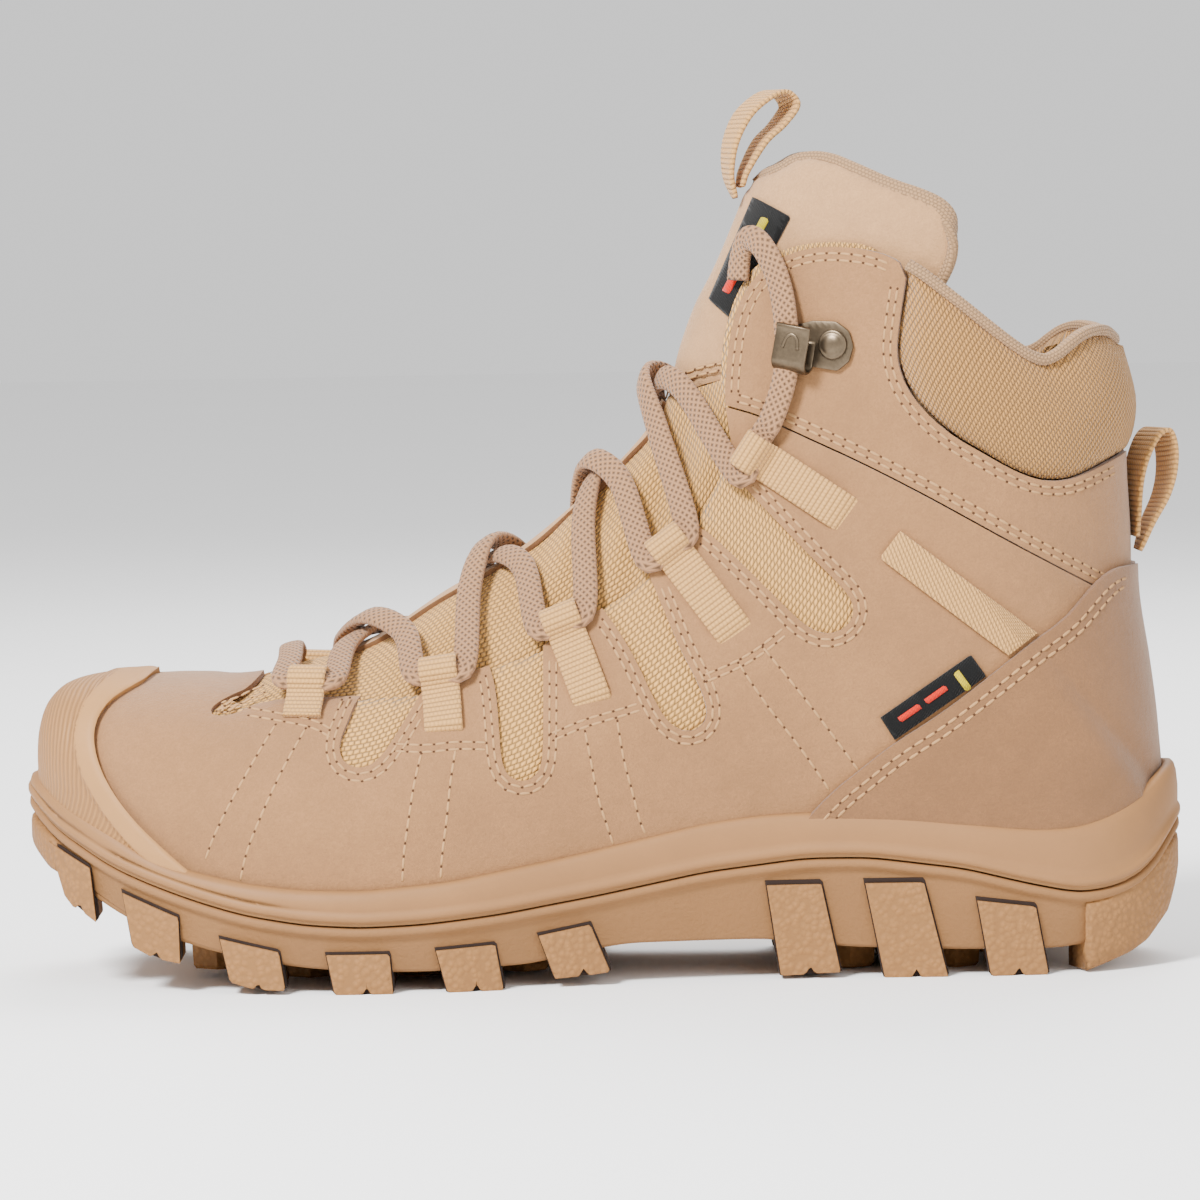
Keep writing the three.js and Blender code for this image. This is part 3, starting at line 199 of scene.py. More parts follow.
def fan_at(points):
    """Side-view points to fan coordinates s and |t|."""
    out = []
    bx, bz, tx, tz = (SECTIONS[key] for key in ("bx", "bz", "tx", "tz"))
    dx, dz = tx - bx, tz - bz
    q_table = np.linspace(0, 1, 401)
    for x, z in points:
        cross = dx * (z - bz) - dz * (x - bx)
        share = ((x - bx) * dx + (z - bz) * dz) / (dx * dx + dz * dz)
        flip = (cross[:-1] * cross[1:] <= 0) & (share[:-1] > -0.35) & (share[:-1] < 1.35)
        hits = np.nonzero(flip)[0]
        if len(hits):
            i = hits[0]
            f = cross[i] / (cross[i] - cross[i + 1] + 1e-12)
            s = SECTIONS["s"][i] + f * LAST_ROW / DENSE
        else:
            s = 0.0 if x < 0 else LAST_ROW
        sec = section(np.array([s]))
        length = (sec["tx"] - sec["bx"]) ** 2 + (sec["tz"] - sec["bz"]) ** 2
        u = (x - sec["bx"]) * (sec["tx"] - sec["bx"]) + (z - sec["bz"]) * (sec["tz"] - sec["bz"])
        table, _ = profile({key: np.full(401, sec[key][0]) for key in sec}, q_table)
        out.append((s, 1 - float(np.interp(u[0] / length[0], table, q_table))))
    return np.array(out)


# ---- outlines in the side view --------------------------------------------------------------------
RIM = [(-116, 84), (-120.6, 79.8), (-126, 77.2), (-130, 74.6), (-132.4, 71.4), (-133.5, 67.7),
       (-133.2, 63.6), (-131.4, 58.2), (-128.1, 52.5), (-124.6, 47.9), (-120.6, 43.3), (-113.5, 36.5),
       (-106, 30)]
WINDOW_2 = [(-64, 77.5), (-66.6, 71), (-69.2, 65), (-68.6, 61), (-66, 59), (-63, 58.6), (-59.5, 60),
            (-56, 64), (-51.5, 71), (-47, 78)]
WINDOW_3 = [(-29.5, 84), (-28, 79), (-27.2, 70), (-26.6, 60), (-25, 56), (-21.5, 54.3), (-18, 55.3),
            (-16, 58.6), (-15.5, 66), (-15.2, 89)]
WINDOW_4 = [(0.5, 98.5), (5, 92.5), (9.5, 84.5), (13.5, 75.5), (16.5, 70), (20, 66.8), (24, 66.2),
            (27, 68.4), (27.8, 72), (25.5, 79), (21, 87.5), (17.5, 96), (13, 107)]
WINDOW_5 = [(26, 119.5), (29, 117.8), (38.5, 108.8), (48.5, 98.5), (53.5, 93.6), (58, 91.2), (62.8, 91.6),
            (66.3, 95), (66.4, 99.5), (63, 104), (55, 112), (47.5, 120), (36.8, 131.6)]
WINDOWS = [WINDOW_2, WINDOW_3, WINDOW_4, WINDOW_5]
FRONT_NOTCH = [(-83, 77), (-90.5, 75.2), (-94, 73.2), (-99, 71.6), (-102.6, 71.6), (-103.9, 73),
               (-101.5, 75), (-98.6, 76.8), (-94.5, 79.8), (-91, 84.5)]
ANKLE_FRONT = [(34, 151.8), (34, 158), (36, 172.5), (39.5, 181), (44.5, 187), (51.5, 191), (60, 192.8),
               (70, 192), (77, 190), (81, 187.2)]
ANKLE_BACK = [(81.3, 184), (79.4, 172), (78.6, 165), (79.6, 159), (82.6, 153), (88, 146.8), (94, 142),
              (100, 138.5), (107.5, 134), (113, 131.4), (118, 130), (124, 130), (129, 131.6),
              (134.5, 133.8), (141.5, 136.4)]
ANKLE_FOOT = [(34, 151.2), (43, 148.6), (54, 143.3), (67.5, 137), (81, 130), (94.5, 122.5), (107.5, 115),
              (121, 107.5), (134.5, 100), (144, 95)]
COLLAR_TOP = [(81.5, 187), (85, 184.8), (89.5, 181.2), (96.5, 175.6), (103.5, 169.8), (110.5, 164.4),
              (115, 161.8), (119, 161.2), (123, 164), (127, 167.2), (131.5, 169), (136, 168.6), (139, 166)]
FOXING_TOP = [(52, 41), (60, 49.4), (67.5, 55.2), (76, 61.8), (89, 69.8), (100.7, 78.6), (112.8, 88),
              (121.5, 93.6), (126, 98.2), (129.6, 102), (134, 105.2), (138.3, 106.4), (146, 106)]
TONGUE_EDGE = [(-101.5, 75), (-93, 72), (-83, 73), (-64, 73.6), (-47, 74.5), (-31, 80), (-15, 85),
               (2.5, 94.5), (16, 103.5), (28.5, 115.5), (36, 130), (39, 148)]
TONGUE_WING = [(48, 156), (66, 164), (79, 172.5), (88, 181.5), (91.6, 187.5), (93.2, 193.8), (92.2, 199)]
TONGUE_TOP = [(90, 202.2), (85, 205), (75, 209), (66, 214), (60, 217.6), (55, 219), (50, 218),
              (46.5, 215.4), (42, 214), (36, 212)]


def lengths_along(line):
    """The distance walked at each point of a polyline."""
    return np.concatenate([[0], np.cumsum(np.linalg.norm(np.diff(line, axis=0), axis=1))])


def even(points, step=1.6, rounds=0):
    """A polyline walked in even steps, its corners cut first."""
    line = np.array(points, float)
    for _ in range(rounds):
        cut = [line[0]]
        for a, b in zip(line[:-1], line[1:]):
            cut += [a * 0.75 + b * 0.25, a * 0.25 + b * 0.75]
        line = np.array(cut + [line[-1]])
    lengths = lengths_along(line)
    count = max(int(lengths[-1] / step), 1)
    walk = np.linspace(0, lengths[-1], count + 1)
    return np.stack([np.interp(walk, lengths, line[:, c]) for c in range(line.shape[1])], 1)


def shift(points, distance):
    """The polyline moved sideways, to the left of its run."""
    line = np.array(points, float)
    run = unit(np.gradient(line, axis=0))
    return line + np.stack([-run[:, 1], run[:, 0]], 1) * distance


def st(points, side=-1):
    """Side-view points to fan coordinates on one side of the boot."""
    found = fan_at(points)
    found[:, 1] *= side
    return found


# ---- mesh helpers ---------------------------------------------------------------------------------
FAN_MM = np.array([17.0, 105.0])
ARC_ROWS = 300
ARC_COLUMNS = 40


def arc_tables():
    """Lengths along the top and foot lines, and around each section."""
    s = np.linspace(0, LAST_ROW, ARC_ROWS + 1)
    lengths = []
    for t in (-0.02, -0.98):
        lengths.append(lengths_along(base(s, t)))
    grid = base(s[:, None], -np.linspace(0, 1, ARC_COLUMNS + 1)[None, :])
    steps = np.linalg.norm(np.diff(grid, axis=1), axis=2)
    girth = np.concatenate([np.zeros((len(s), 1)), np.cumsum(steps, axis=1)], 1)
    return s, lengths, girth


ARC_S, ARC_ALONG, ARC_GIRTH = arc_tables()


def flat_uv(s, t):
    """Lengths on the leather itself, in millimetres, so that a weave keeps its size."""
    side = np.abs(t)
    u = np.interp(s, ARC_S, ARC_ALONG[0]) * (1 - side) + np.interp(s, ARC_S, ARC_ALONG[1]) * side
    row = np.clip(s / LAST_ROW * ARC_ROWS, 0, ARC_ROWS - 0.001)
    i = row.astype(int)
    f = row - i
    column = np.clip(side * ARC_COLUMNS, 0, ARC_COLUMNS - 0.001)
    j = column.astype(int)
    g = column - j
    low = ARC_GIRTH[i, j] * (1 - g) + ARC_GIRTH[i, j + 1] * g
    high = ARC_GIRTH[i + 1, j] * (1 - g) + ARC_GIRTH[i + 1, j + 1] * g
    return u, np.sign(t) * (low * (1 - f) + high * f)


def wound(polygon):
    """The outline turned, if need be, so that its faces look outward."""
    ends = np.roll(polygon, -1, axis=0)
    area = np.sum(polygon[:, 0] * ends[:, 1] - polygon[:, 1] * ends[:, 0])
    return polygon if area > 0 else polygon[::-1]


def across_boot(polygon):
    """The mirror image on the other side, wound the same way."""
    return (np.asarray(polygon) * np.array([1, -1]))[::-1]


def distance_to(line, points, longest=1e9):
    """How far each point lies from a polyline, whose spans over the longest don't count."""
    near = np.full(len(points), 1e9)
    for start, end in zip(line[:-1], line[1:]):
        span = end - start
        if np.linalg.norm(span) <= longest:
            f = np.clip(((points - start) @ span) / (span @ span + 1e-9), 0, 1)
            near = np.minimum(near, np.linalg.norm(points - (start + f[:, None] * span), axis=1))
    return near


def swollen(near, reach):
    """Rises steeply from 0 at a seam to 1 at its reach and beyond."""
    return np.sqrt(1 - (1 - np.clip(near / reach, 0, 1)) ** 2)


def meshed(outline, grid):
    """Triangles over a closed outline and the loose points inside it."""
    points = [Vector(p) for p in np.concatenate([outline, grid])]
    edges = [(i, (i + 1) % len(outline)) for i in range(len(outline))]
    verts, _, faces, *_ = geometry.delaunay_2d_cdt(points, edges, [], 1, 1e-4)
    return np.array([tuple(v) for v in verts]), faces


def inside(polygon, points):
    x, y = points[:, 0], points[:, 1]
    result = np.zeros(len(points), bool)
    ends = np.roll(polygon, -1, axis=0)
    for (x0, y0), (x1, y1) in zip(polygon, ends):
        if y0 == y1:
            continue
        hit = ((y0 > y) != (y1 > y)) & (x < (x1 - x0) * (y - y0) / (y1 - y0) + x0)
        result ^= hit
    return result


def new_object(name, vertices, faces, uv=None, smooth=True):
    mesh = bpy.data.meshes.new(name)
    places = [tuple(v) for v in np.asarray(vertices) * MM]
    mesh.from_pydata(places, [], [tuple(int(i) for i in f) for f in faces])
    if uv is not None:
        layer = mesh.uv_layers.new(name="weave")
        loops = np.empty(len(mesh.loops), np.int32)
        mesh.loops.foreach_get("vertex_index", loops)
        layer.data.foreach_set("uv", np.asarray(uv, np.float32)[loops].ravel())
    if smooth:
        mesh.polygons.foreach_set("use_smooth", [True] * len(mesh.polygons))
    mesh.update()
    thing = bpy.data.objects.new(name, mesh)
    bpy.context.scene.collection.objects.link(thing)
    return thing


def weld(thing, distance=0.0001, recalculate=True):
    """Joins points that meet, and turns all faces outward."""
    work = bmesh.new()
    work.from_mesh(thing.data)
    bmesh.ops.remove_doubles(work, verts=work.verts, dist=distance * MM)
    if recalculate:
        bmesh.ops.recalc_face_normals(work, faces=work.faces)
    work.to_mesh(thing.data)
    work.free()


def triangulated(polygon, spacing):
    """Triangles over a closed outline in fan coordinates, with an even grid of points inside."""
    flat = polygon * FAN_MM
    low, high = flat.min(0), flat.max(0)
    rows = []
    for k, y in enumerate(np.arange(low[1] + spacing / 2, high[1], spacing * 0.87)):
        xs = np.arange(low[0] + spacing * (0.5 if k % 2 else 1.0), high[0], spacing)
        rows.append(np.stack([xs, np.full(len(xs), y)], 1))
    grid = np.concatenate(rows)
    grid = grid[inside(flat, grid)]
    if len(grid):
        near = np.min(np.linalg.norm(grid[:, None, :] - flat[None, ::2, :], axis=2), axis=1)
        grid = grid[near > spacing * 0.45]
    points, faces = meshed(flat, grid)
    return points / FAN_MM, faces


def panel(name, polygons, lift, thickness, spacing=3.0, bevel=0.5):
    """A piece of hide or cloth cut to outlines on the upper and given its thickness."""
    vertices, faces, uvs = [], [], []
    start = 0
    for polygon in polygons:
        flat, triangles = triangulated(np.asarray(polygon), spacing)
        s, t = flat[:, 0], flat[:, 1]
        height = lift(s, t) if callable(lift) else np.full(len(s), float(lift))
        points = surface(s, t, height)
        vertices.append(points)
        u, v = flat_uv(s, t)
        uvs.append(np.stack([u, v], 1))
        faces += [[i + start for i in face] for face in triangles]
        start += len(points)
    thing = new_object(name, np.concatenate(vertices), faces, np.concatenate(uvs))
    weld(thing, 0.05, recalculate=False)
    solid = thing.modifiers.new("thickness", "SOLIDIFY")
    solid.thickness = thickness * MM
    solid.offset = -1
    solid.use_even_offset = False
    solid.material_offset_rim = 1
    if bevel:
        soften(thing, bevel, 50)
    return thing


def soften(thing, width, angle):
    """Rounds the edges that turn by more than the angle, in degrees."""
    edge = thing.modifiers.new("edge", "BEVEL")
    edge.width = width * MM
    edge.segments = 2
    edge.limit_method = "ANGLE"
    edge.angle_limit = math.radians(angle)


def both_sides(polygon):
    return [polygon, across_boot(polygon)]


def foot_line(s0, s1, step=0.12):
    """Fan points along the lateral foot of the upper."""
    count = max(int(abs(s1 - s0) / step), 1)
    s = np.linspace(s0, s1, count + 1)
    return np.stack([s, np.full(len(s), -1.0)], 1)


# ---- materials ------------------------------------------------------------------------------------
class Nodes:
    """A short way to write a node tree."""

    def __init__(self, name, color, roughness, metallic=0.0, sheen=0.0, specular=0.3):
        self.material = bpy.data.materials.new(name)
        self.material.use_nodes = True
        self.tree = self.material.node_tree
        self.shader = self.tree.nodes["Principled BSDF"]
        self.shader.inputs["Base Color"].default_value = (*color, 1)
        self.shader.inputs["Roughness"].default_value = roughness
        self.shader.inputs["Metallic"].default_value = metallic
        self.shader.inputs["Sheen Weight"].default_value = sheen
        self.shader.inputs["Specular IOR Level"].default_value = specular

    def link(self, a, b):
        self.tree.links.new(a, b)

    def math(self, operation, a, b=None, c=None):
        node = self.tree.nodes.new("ShaderNodeMath")
        node.operation = operation
        for index, value in enumerate((a, b, c)):
            if value is None:
                continue
            if isinstance(value, (int, float)):
                node.inputs[index].default_value = value
            else:
                self.link(value, node.inputs[index])
        return node.outputs[0]

    def object_coords(self):
        return self.tree.nodes.new("ShaderNodeTexCoord").outputs["Object"]

    def noise(self, scale, detail=3.0, coords=None, roughness=0.55):
        node = self.tree.nodes.new("ShaderNodeTexNoise")
        node.inputs["Scale"].default_value = scale
        node.inputs["Detail"].default_value = detail
        node.inputs["Roughness"].default_value = roughness
        self.link(coords if coords is not None else self.object_coords(), node.inputs["Vector"])
        return node.outputs["Fac"]

    def times(self, a, b):
        return self.math("MULTIPLY", a, b)

    def plus(self, a, b):
        return self.math("ADD", a, b)

    def wave(self, turns):
        """The sine of so many half turns."""
        return self.math("SINE", self.times(turns, math.pi))

    def ridges(self, turns):
        return self.math("ABSOLUTE", self.wave(turns))

    def cells(self, scale):
        """Small domes at random places: 0 at each middle, 1 between them."""
        node = self.tree.nodes.new("ShaderNodeTexVoronoi")
        node.inputs["Scale"].default_value = scale
        self.link(self.object_coords(), node.inputs["Vector"])
        return self.ramp(node.outputs["Distance"], 0.0, 0.7)

    def spotted(self, body, value, low, high, share, color):
        """The body colour with another over a share of it, where the value runs from low to high."""
        return self.mix(self.times(self.ramp(value, low, high), share), body, color)

    def weave_uv(self):
        node = self.tree.nodes.new("ShaderNodeUVMap")
        node.uv_map = "weave"
        split = self.tree.nodes.new("ShaderNodeSeparateXYZ")
        self.link(node.outputs[0], split.inputs[0])
        return split.outputs[0], split.outputs[1]

    def mix(self, factor, a, b):
        node = self.tree.nodes.new("ShaderNodeMix")
        node.data_type = "RGBA"
        self.link(factor, node.inputs[0])
        for index, value in ((6, a), (7, b)):
            if isinstance(value, tuple):
                node.inputs[index].default_value = (*value, 1)
            else:
                self.link(value, node.inputs[index])
        return node.outputs[2]

    def ramp(self, value, low, high):
        node = self.tree.nodes.new("ShaderNodeMapRange")
        self.link(value, node.inputs[0])
        node.inputs[1].default_value = low
        node.inputs[2].default_value = high
        return node.outputs[0]

    def color(self, socket):
        self.link(socket, self.shader.inputs["Base Color"])

    def bump(self, height, distance, strength=1.0):
        node = self.tree.nodes.new("ShaderNodeBump")
        node.inputs["Strength"].default_value = strength
        node.inputs["Distance"].default_value = distance
        self.link(height, node.inputs["Height"])
        self.link(node.outputs[0], self.shader.inputs["Normal"])


TONE_POWER = 1.72
TONE_GAINS = (0.84, 0.84, 0.66)
PAST_ZERO = 200.0


def srgb(r, g, b):
    """A colour as it is seen, made deeper so that the view transform gives it back."""
    def linear(v):
        v /= 255
        return v / 12.92 if v <= 0.04045 else ((v + 0.055) / 1.055) ** 2.4
    return tuple(gain * linear(v) ** TONE_POWER for v, gain in zip((r, g, b), TONE_GAINS))


def tint(color, factor):
    return tuple(min(1.0, c * factor) for c in color)


def nubuck(name, color):
    n = Nodes(name, color, 0.82, sheen=0.25, specular=0.2)
    cloud = n.ramp(n.noise(26, 4), 0.3, 0.7)
    fine = n.noise(1700, 4, roughness=0.75)
    nap = n.noise(520, 4, roughness=0.7)
    body = n.mix(cloud, tint(color, 0.86), tint(color, 1.1))
    body = n.spotted(body, n.noise(140, 5, roughness=0.7), 0.42, 0.72, 0.4, tint(color, 1.25))
    body = n.spotted(body, nap, 0.4, 0.62, 0.3, tint(color, 0.78))
    n.color(n.spotted(body, fine, 0.38, 0.62, 0.5, tint(color, 0.7)))
    n.bump(n.plus(n.times(fine, 0.7), nap), 0.0004, 0.65)
    return n.material


def plain_weave(name, color, period=1.75, depth=0.0007, dark=0.42):
    """Threads over and under each other, each row half a step beside the last, with painted shade in the
    hollows between them.
    """
    n = Nodes(name, color, 0.88, sheen=0.15, specular=0.2)
    u, v = n.weave_uv()
    wobble = n.times(n.math("SUBTRACT", n.noise(90, 2), 0.5), 0.9)
    column = n.math("DIVIDE", n.plus(u, wobble), period)
    row = n.math("DIVIDE", n.plus(v, wobble), period * 0.82)
    half = n.times(n.math("MODULO", n.math("FLOOR", row), 2), 0.5)
    across = n.wave(n.math("FRACT", n.plus(n.plus(column, half), PAST_ZERO)))
    down = n.wave(n.math("FRACT", n.plus(row, PAST_ZERO)))
    height = n.math("POWER", n.times(across, down), 0.55)
    # painted shade: the low parts of the weave are darkened by the factor dark, and the crowns are lightened
    shade = n.mix(n.ramp(height, 0.15, 0.85), tint(color, dark), tint(color, 1.12))
    n.color(n.spotted(shade, n.noise(60, 3), 0.35, 0.65, 0.25, tint(color, 0.8)))
    n.bump(n.plus(height, n.times(n.noise(2600, 2), 0.25)), depth, 0.9)
    return n.material


def ribbed_web(name, color, period=1.35):
    """Webbing: ribs across the strap, each broken into short floats."""
    n = Nodes(name, color, 0.85, sheen=0.15, specular=0.2)
    u, v = n.weave_uv()
    rib = n.math("DIVIDE", u, period)
    offset = n.times(n.math("MODULO", n.plus(n.math("FLOOR", rib), PAST_ZERO), 2), 0.5)
    grain = n.ridges(n.plus(n.math("DIVIDE", v, 1.1), offset))
    height = n.times(n.math("POWER", n.ridges(rib), 0.6), n.plus(n.times(grain, 0.45), 0.55))
    # painted shade: the grooves between the ribs darker, the ribs lighter
    n.color(n.mix(n.ramp(height, 0.1, 0.8), tint(color, 0.62), tint(color, 1.08)))
    n.bump(n.plus(height, n.times(n.noise(2400, 2), 0.2)), 0.0005, 0.9)
    return n.material


def braid(name, color):
    """Strands that cross both ways around a lace."""
    n = Nodes(name, color, 0.85, sheen=0.15, specular=0.2)
    u, v = n.weave_uv()
    along_lace = n.math("DIVIDE", u, 2.1)
    around_lace = n.math("DIVIDE", v, 1.9)
    one = n.math("POWER", n.ridges(n.plus(along_lace, around_lace)), 1.4)
    two = n.math("POWER", n.ridges(n.math("SUBTRACT", along_lace, around_lace)), 1.4)
    height = n.math("MAXIMUM", one, two)
    # painted shade: dark between the braid's strands, lighter on the raised strands
    n.color(n.mix(n.ramp(height, 0.25, 0.85), tint(color, 0.35), tint(color, 1.12)))
    n.bump(height, 0.0005, 0.9)
    return n.material


def moulded(name, color, grain=900, depth=0.00008, roughness=0.62):
    n = Nodes(name, color, roughness, specular=0.35)
    body = n.mix(n.ramp(n.noise(18, 4), 0.3, 0.7), tint(color, 0.93), tint(color, 1.06))
    n.color(n.spotted(body, n.noise(160, 5, roughness=0.7), 0.45, 0.75, 0.25, tint(color, 1.2)))
    n.bump(n.noise(grain, 3), depth, 0.6)
    return n.material


def ribbed_rubber(name, color, period=1.55):
    """Moulded rubber with fine ribs that fan out from the sole to the rim."""
    n = Nodes(name, color, 0.6, specular=0.35)
    u, _ = n.weave_uv()
    drift = n.times(n.math("SUBTRACT", n.noise(55, 3), 0.5), 1.6)
    height = n.times(n.plus(n.wave(n.times(n.plus(u, drift), 2 / period)), 1.0), 0.5)
    # painted shade: the hollows between the fine ribs darker, the rib tops lighter
    n.color(n.mix(n.ramp(height, 0.0, 0.8), tint(color, 0.78), tint(color, 1.06)))
    n.bump(height, 0.0005, 0.7)
    return n.material


def pebbled(name, color):
    n = Nodes(name, color, 0.7, specular=0.3)
    domes = n.cells(620)
    # painted highlight on the tops of the pebbles and painted shade in the hollows between them
    shade = n.mix(domes, tint(color, 1.12), tint(color, 0.82))
    n.color(n.spotted(shade, n.noise(40, 4), 0.35, 0.65, 0.4, tint(color, 0.85)))
    n.bump(n.math("SUBTRACT", 1.0, domes), 0.00035, 0.8)
    return n.material


def speckled_cloth(name, color):
    """A knit for pieces whose surface carries no lengths of its own."""
    n = Nodes(name, color, 0.9, sheen=0.15, specular=0.2)
    domes = n.cells(850)
    # painted shade between the little domes, painted highlight on their tops
    n.color(n.mix(domes, tint(color, 1.1), tint(color, 0.65)))
    n.bump(n.math("SUBTRACT", 1.0, domes), 0.0003, 0.8)
    return n.material


def brushed(name, color, roughness=0.36):
    n = Nodes(name, color, roughness, metallic=0.9, specular=0.5)
    streak = n.noise(700, 4, roughness=0.8)
    n.color(n.mix(n.ramp(streak, 0.3, 0.7), tint(color, 0.8), tint(color, 1.2)))
    n.bump(streak, 0.00005, 0.4)
    return n.material


M = {}


def make_materials():
    M["nubuck"] = nubuck("nubuck", srgb(192, 159, 132))
    M["nubuck_dark"] = nubuck("nubuck_heel", srgb(178, 146, 121))
    M["cut_edge"] = nubuck("cut_edge", srgb(172, 140, 116))
    M["cordura"] = plain_weave("cordura", srgb(232, 196, 148))
    M["cordura_collar"] = plain_weave("cordura_collar", srgb(212, 176, 132))
    M["webbing"] = ribbed_web("webbing", srgb(222, 188, 148))
    M["knit"] = plain_weave("knit", srgb(196, 170, 150), 1.1, 0.0003, 0.7)
    M["thread"] = moulded("thread", srgb(206, 176, 148), 3000, 0.0001, 0.8)
    # painted shade: the dark brown that stands for the shade in the needle holes between stitches
    M["hole_shade"] = moulded("needle_hole_shade", srgb(122, 94, 74), 2000, 0.0001, 0.9)
    M["lace"] = braid("lace", srgb(190, 160, 140))
    M["midsole"] = moulded("midsole_rubber", srgb(184, 151, 120))
    M["lug"] = pebbled("lug_rubber", srgb(186, 152, 118))
    M["carrier"] = moulded("carrier_rubber", srgb(178, 146, 116), 900, 0.0003, 0.75)
    M["nickel"] = brushed("nickel", srgb(150, 138, 130))
    M["black"] = plain_weave("label_black", srgb(22, 21, 22), 0.8, 0.0001, 0.6)
    M["orange"] = plain_weave("label_orange", srgb(224, 84, 32), 0.8, 0.0001, 0.75)
    M["yellow"] = plain_weave("label_yellow", srgb(214, 200, 40), 0.8, 0.0001, 0.75)
    M["steel"] = brushed("bright_steel", srgb(170, 172, 176))
    M["board"] = moulded("fibreboard", srgb(168, 152, 130), 500, 0.0002, 0.9)
    M["footbed"] = plain_weave("footbed_knit", srgb(70, 68, 68), 1.2, 0.0003, 0.6)
    M["nubuck_light"] = nubuck("nubuck_tongue", srgb(214, 183, 157))
    M["bumper"] = ribbed_rubber("bumper_rubber", srgb(196, 161, 126))
    M["bumper_rim"] = moulded("bumper_rim", srgb(202, 168, 134))
    # painted shade: a dark brown for the shade in the grooves around the tread blocks
    M["groove_shade"] = moulded("groove_painted_shade", srgb(84, 62, 48), 700, 0.0002, 0.85)
    M["lining"] = speckled_cloth("lining_cloth", srgb(186, 160, 140))


def finish(thing, key, slot, body, *nodes, rim=None):
    """Gives a piece its materials, the body it rides and the CAD nodes it stands for; the slot is not used.
    """
    thing.data.materials.append(M[key])
    thing.data.materials.append(M[rim or key])
    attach(thing, body)
    if nodes:
        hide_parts(*nodes)
    return thing


# ---- swept pieces ---------------------------------------------------------------------------------
def curve_through(points, per_span=6):
    """A smooth line through chosen points."""
    line = np.array(points, float)
    at = np.linspace(0, len(line) - 1, (len(line) - 1) * per_span + 1)
    return np.stack([knots(line[:, c], at) for c in range(line.shape[1])], 1)


def grid_faces(rows, around, first=0, section_closed=True, run_closed=False):
    """Four-sided faces between rows of points, each row with as many points around it."""
    faces = []
    for i in range(rows if run_closed else rows - 1):
        j = (i + 1) % rows
        for a in range(around if section_closed else around - 1):
            b = (a + 1) % around
            corners = (i * around + a, i * around + b, j * around + b, j * around + a)
            faces.append(tuple(first + corner for corner in corners))
    return faces


def end_faces(rows, around, first=0):
    """The two faces that close a tube's ends."""
    last = first + (rows - 1) * around
    return [tuple(range(first, first + around))[::-1], tuple(range(last, last + around))]


def tube(name, rows, uv=None, smooth=True):
    """A closed body from rows of points around it."""
    rows = np.asarray(rows)
    count, around = rows.shape[:2]
    faces = grid_faces(count, around) + end_faces(count, around)
    thing = new_object(name, rows.reshape(-1, 3), faces, uv, smooth)
    weld(thing)
    return thing


def sweep(name, path, side, outline):
    """An outline of (side, up) points carried along a path."""
    path = np.asarray(path, float)
    run = unit(np.gradient(path, axis=0))
    side = np.broadcast_to(np.asarray(side, float), path.shape)
    side = unit(side - run * np.sum(side * run, axis=1, keepdims=True))
    up = np.cross(side, run)
    outline = np.asarray(outline, float)
    rows = path[:, None] + side[:, None] * outline[None, :, :1] + up[:, None] * outline[None, :, 1:]
    length = lengths_along(path)[:, None]
    uv = np.stack(np.broadcast_arrays(length, outline[None, :, 0]), -1).reshape(-1, 2)
    return tube(name, rows, uv)


def flat_outline(width, thickness, corner=0.45, across=7):
    """A strap's section: flat faces and rounded edges."""
    half, deep = width / 2, thickness / 2
    top = [(x, deep) for x in np.linspace(-half + corner, half - corner, across)]
    low = [(x, -deep) for x in np.linspace(half - corner, -half + corner, across)]
    right = [(half, deep * 0.4), (half, -deep * 0.4)]
    left = [(-half, -deep * 0.4), (-half, deep * 0.4)]
    return top + right + low + left


def oval(width, thickness, sides=14, power=2.6):
    angles = np.linspace(0, 2 * math.pi, sides, endpoint=False)
    c, s = np.cos(angles), np.sin(angles)
    return np.stack([np.sign(c) * np.abs(c) ** (2 / power) * width / 2,
                     np.sign(s) * np.abs(s) ** (2 / power) * thickness / 2], 1)


def on_side(line, side, lift):
    """Places and directions on the surface along a side-view line."""
    s, t = st(line, side).T
    return surface(s, t, np.broadcast_to(lift, len(s))), normal(s, t)


# ---- stitches -------------------------------------------------------------------------------------
STITCH = 2.8
STITCH_GAP = 0.7
THREAD_WIDTH = 0.85
THREAD_SIDES = 6
THREAD_RINGS = [(-0.5, 0.35), (-0.36, 0.85), (0.0, 1.0), (0.36, 0.85), (0.5, 0.35)]
HOLE_RINGS = [(1.0, 0.04), (0.6, 0.13)]
HOLE_SIDES = 8
HOLE_REACH = (0.42, 0.34)


def interpolated(at, lengths, values):
    return np.array([np.interp(at, lengths, values[:, c]) for c in range(3)])


def stitches(name, rows, lift, body, slot):
    """Threads laid along rows drawn in the side view, one short raised stitch after another."""
    vertices, faces, hole_shades = [], [], []
    turns = [n * 2 * math.pi / THREAD_SIDES for n in range(THREAD_SIDES)]
    for side, _ in SIDES:
        for row in rows:
            points, normals = on_side(even(row, 0.6), side, lift)
            lengths = lengths_along(points)
            for start in np.arange(0.3, lengths[-1] - STITCH, STITCH + STITCH_GAP):
                low, high = (interpolated(start + d, lengths, points) for d in (0, STITCH))
                up = interpolated(start + STITCH / 2, lengths, normals)
                run = high - low
                middle = (low + high) / 2
                across = unit(np.cross(run, up))
                hole_shades.append((low - run * (STITCH_GAP / STITCH / 2), run, up))
                first = len(vertices)
                for place, size in THREAD_RINGS:
                    for turn in turns:
                        offset = across * math.cos(turn) / 2 + up * math.sin(turn) * 0.34
                        vertices.append(middle + run * place + offset * THREAD_WIDTH * size)
                faces += grid_faces(len(THREAD_RINGS), THREAD_SIDES, first)
                faces += end_faces(len(THREAD_RINGS), THREAD_SIDES, first)
    thing = new_object(name, vertices, faces)
    weld(thing)
    finish(thing, "thread", slot, body)
    # painted shade: a dark mark at each needle hole between two stitches
    needle_hole_shades(f"{name}_holes", hole_shades, slot, body)


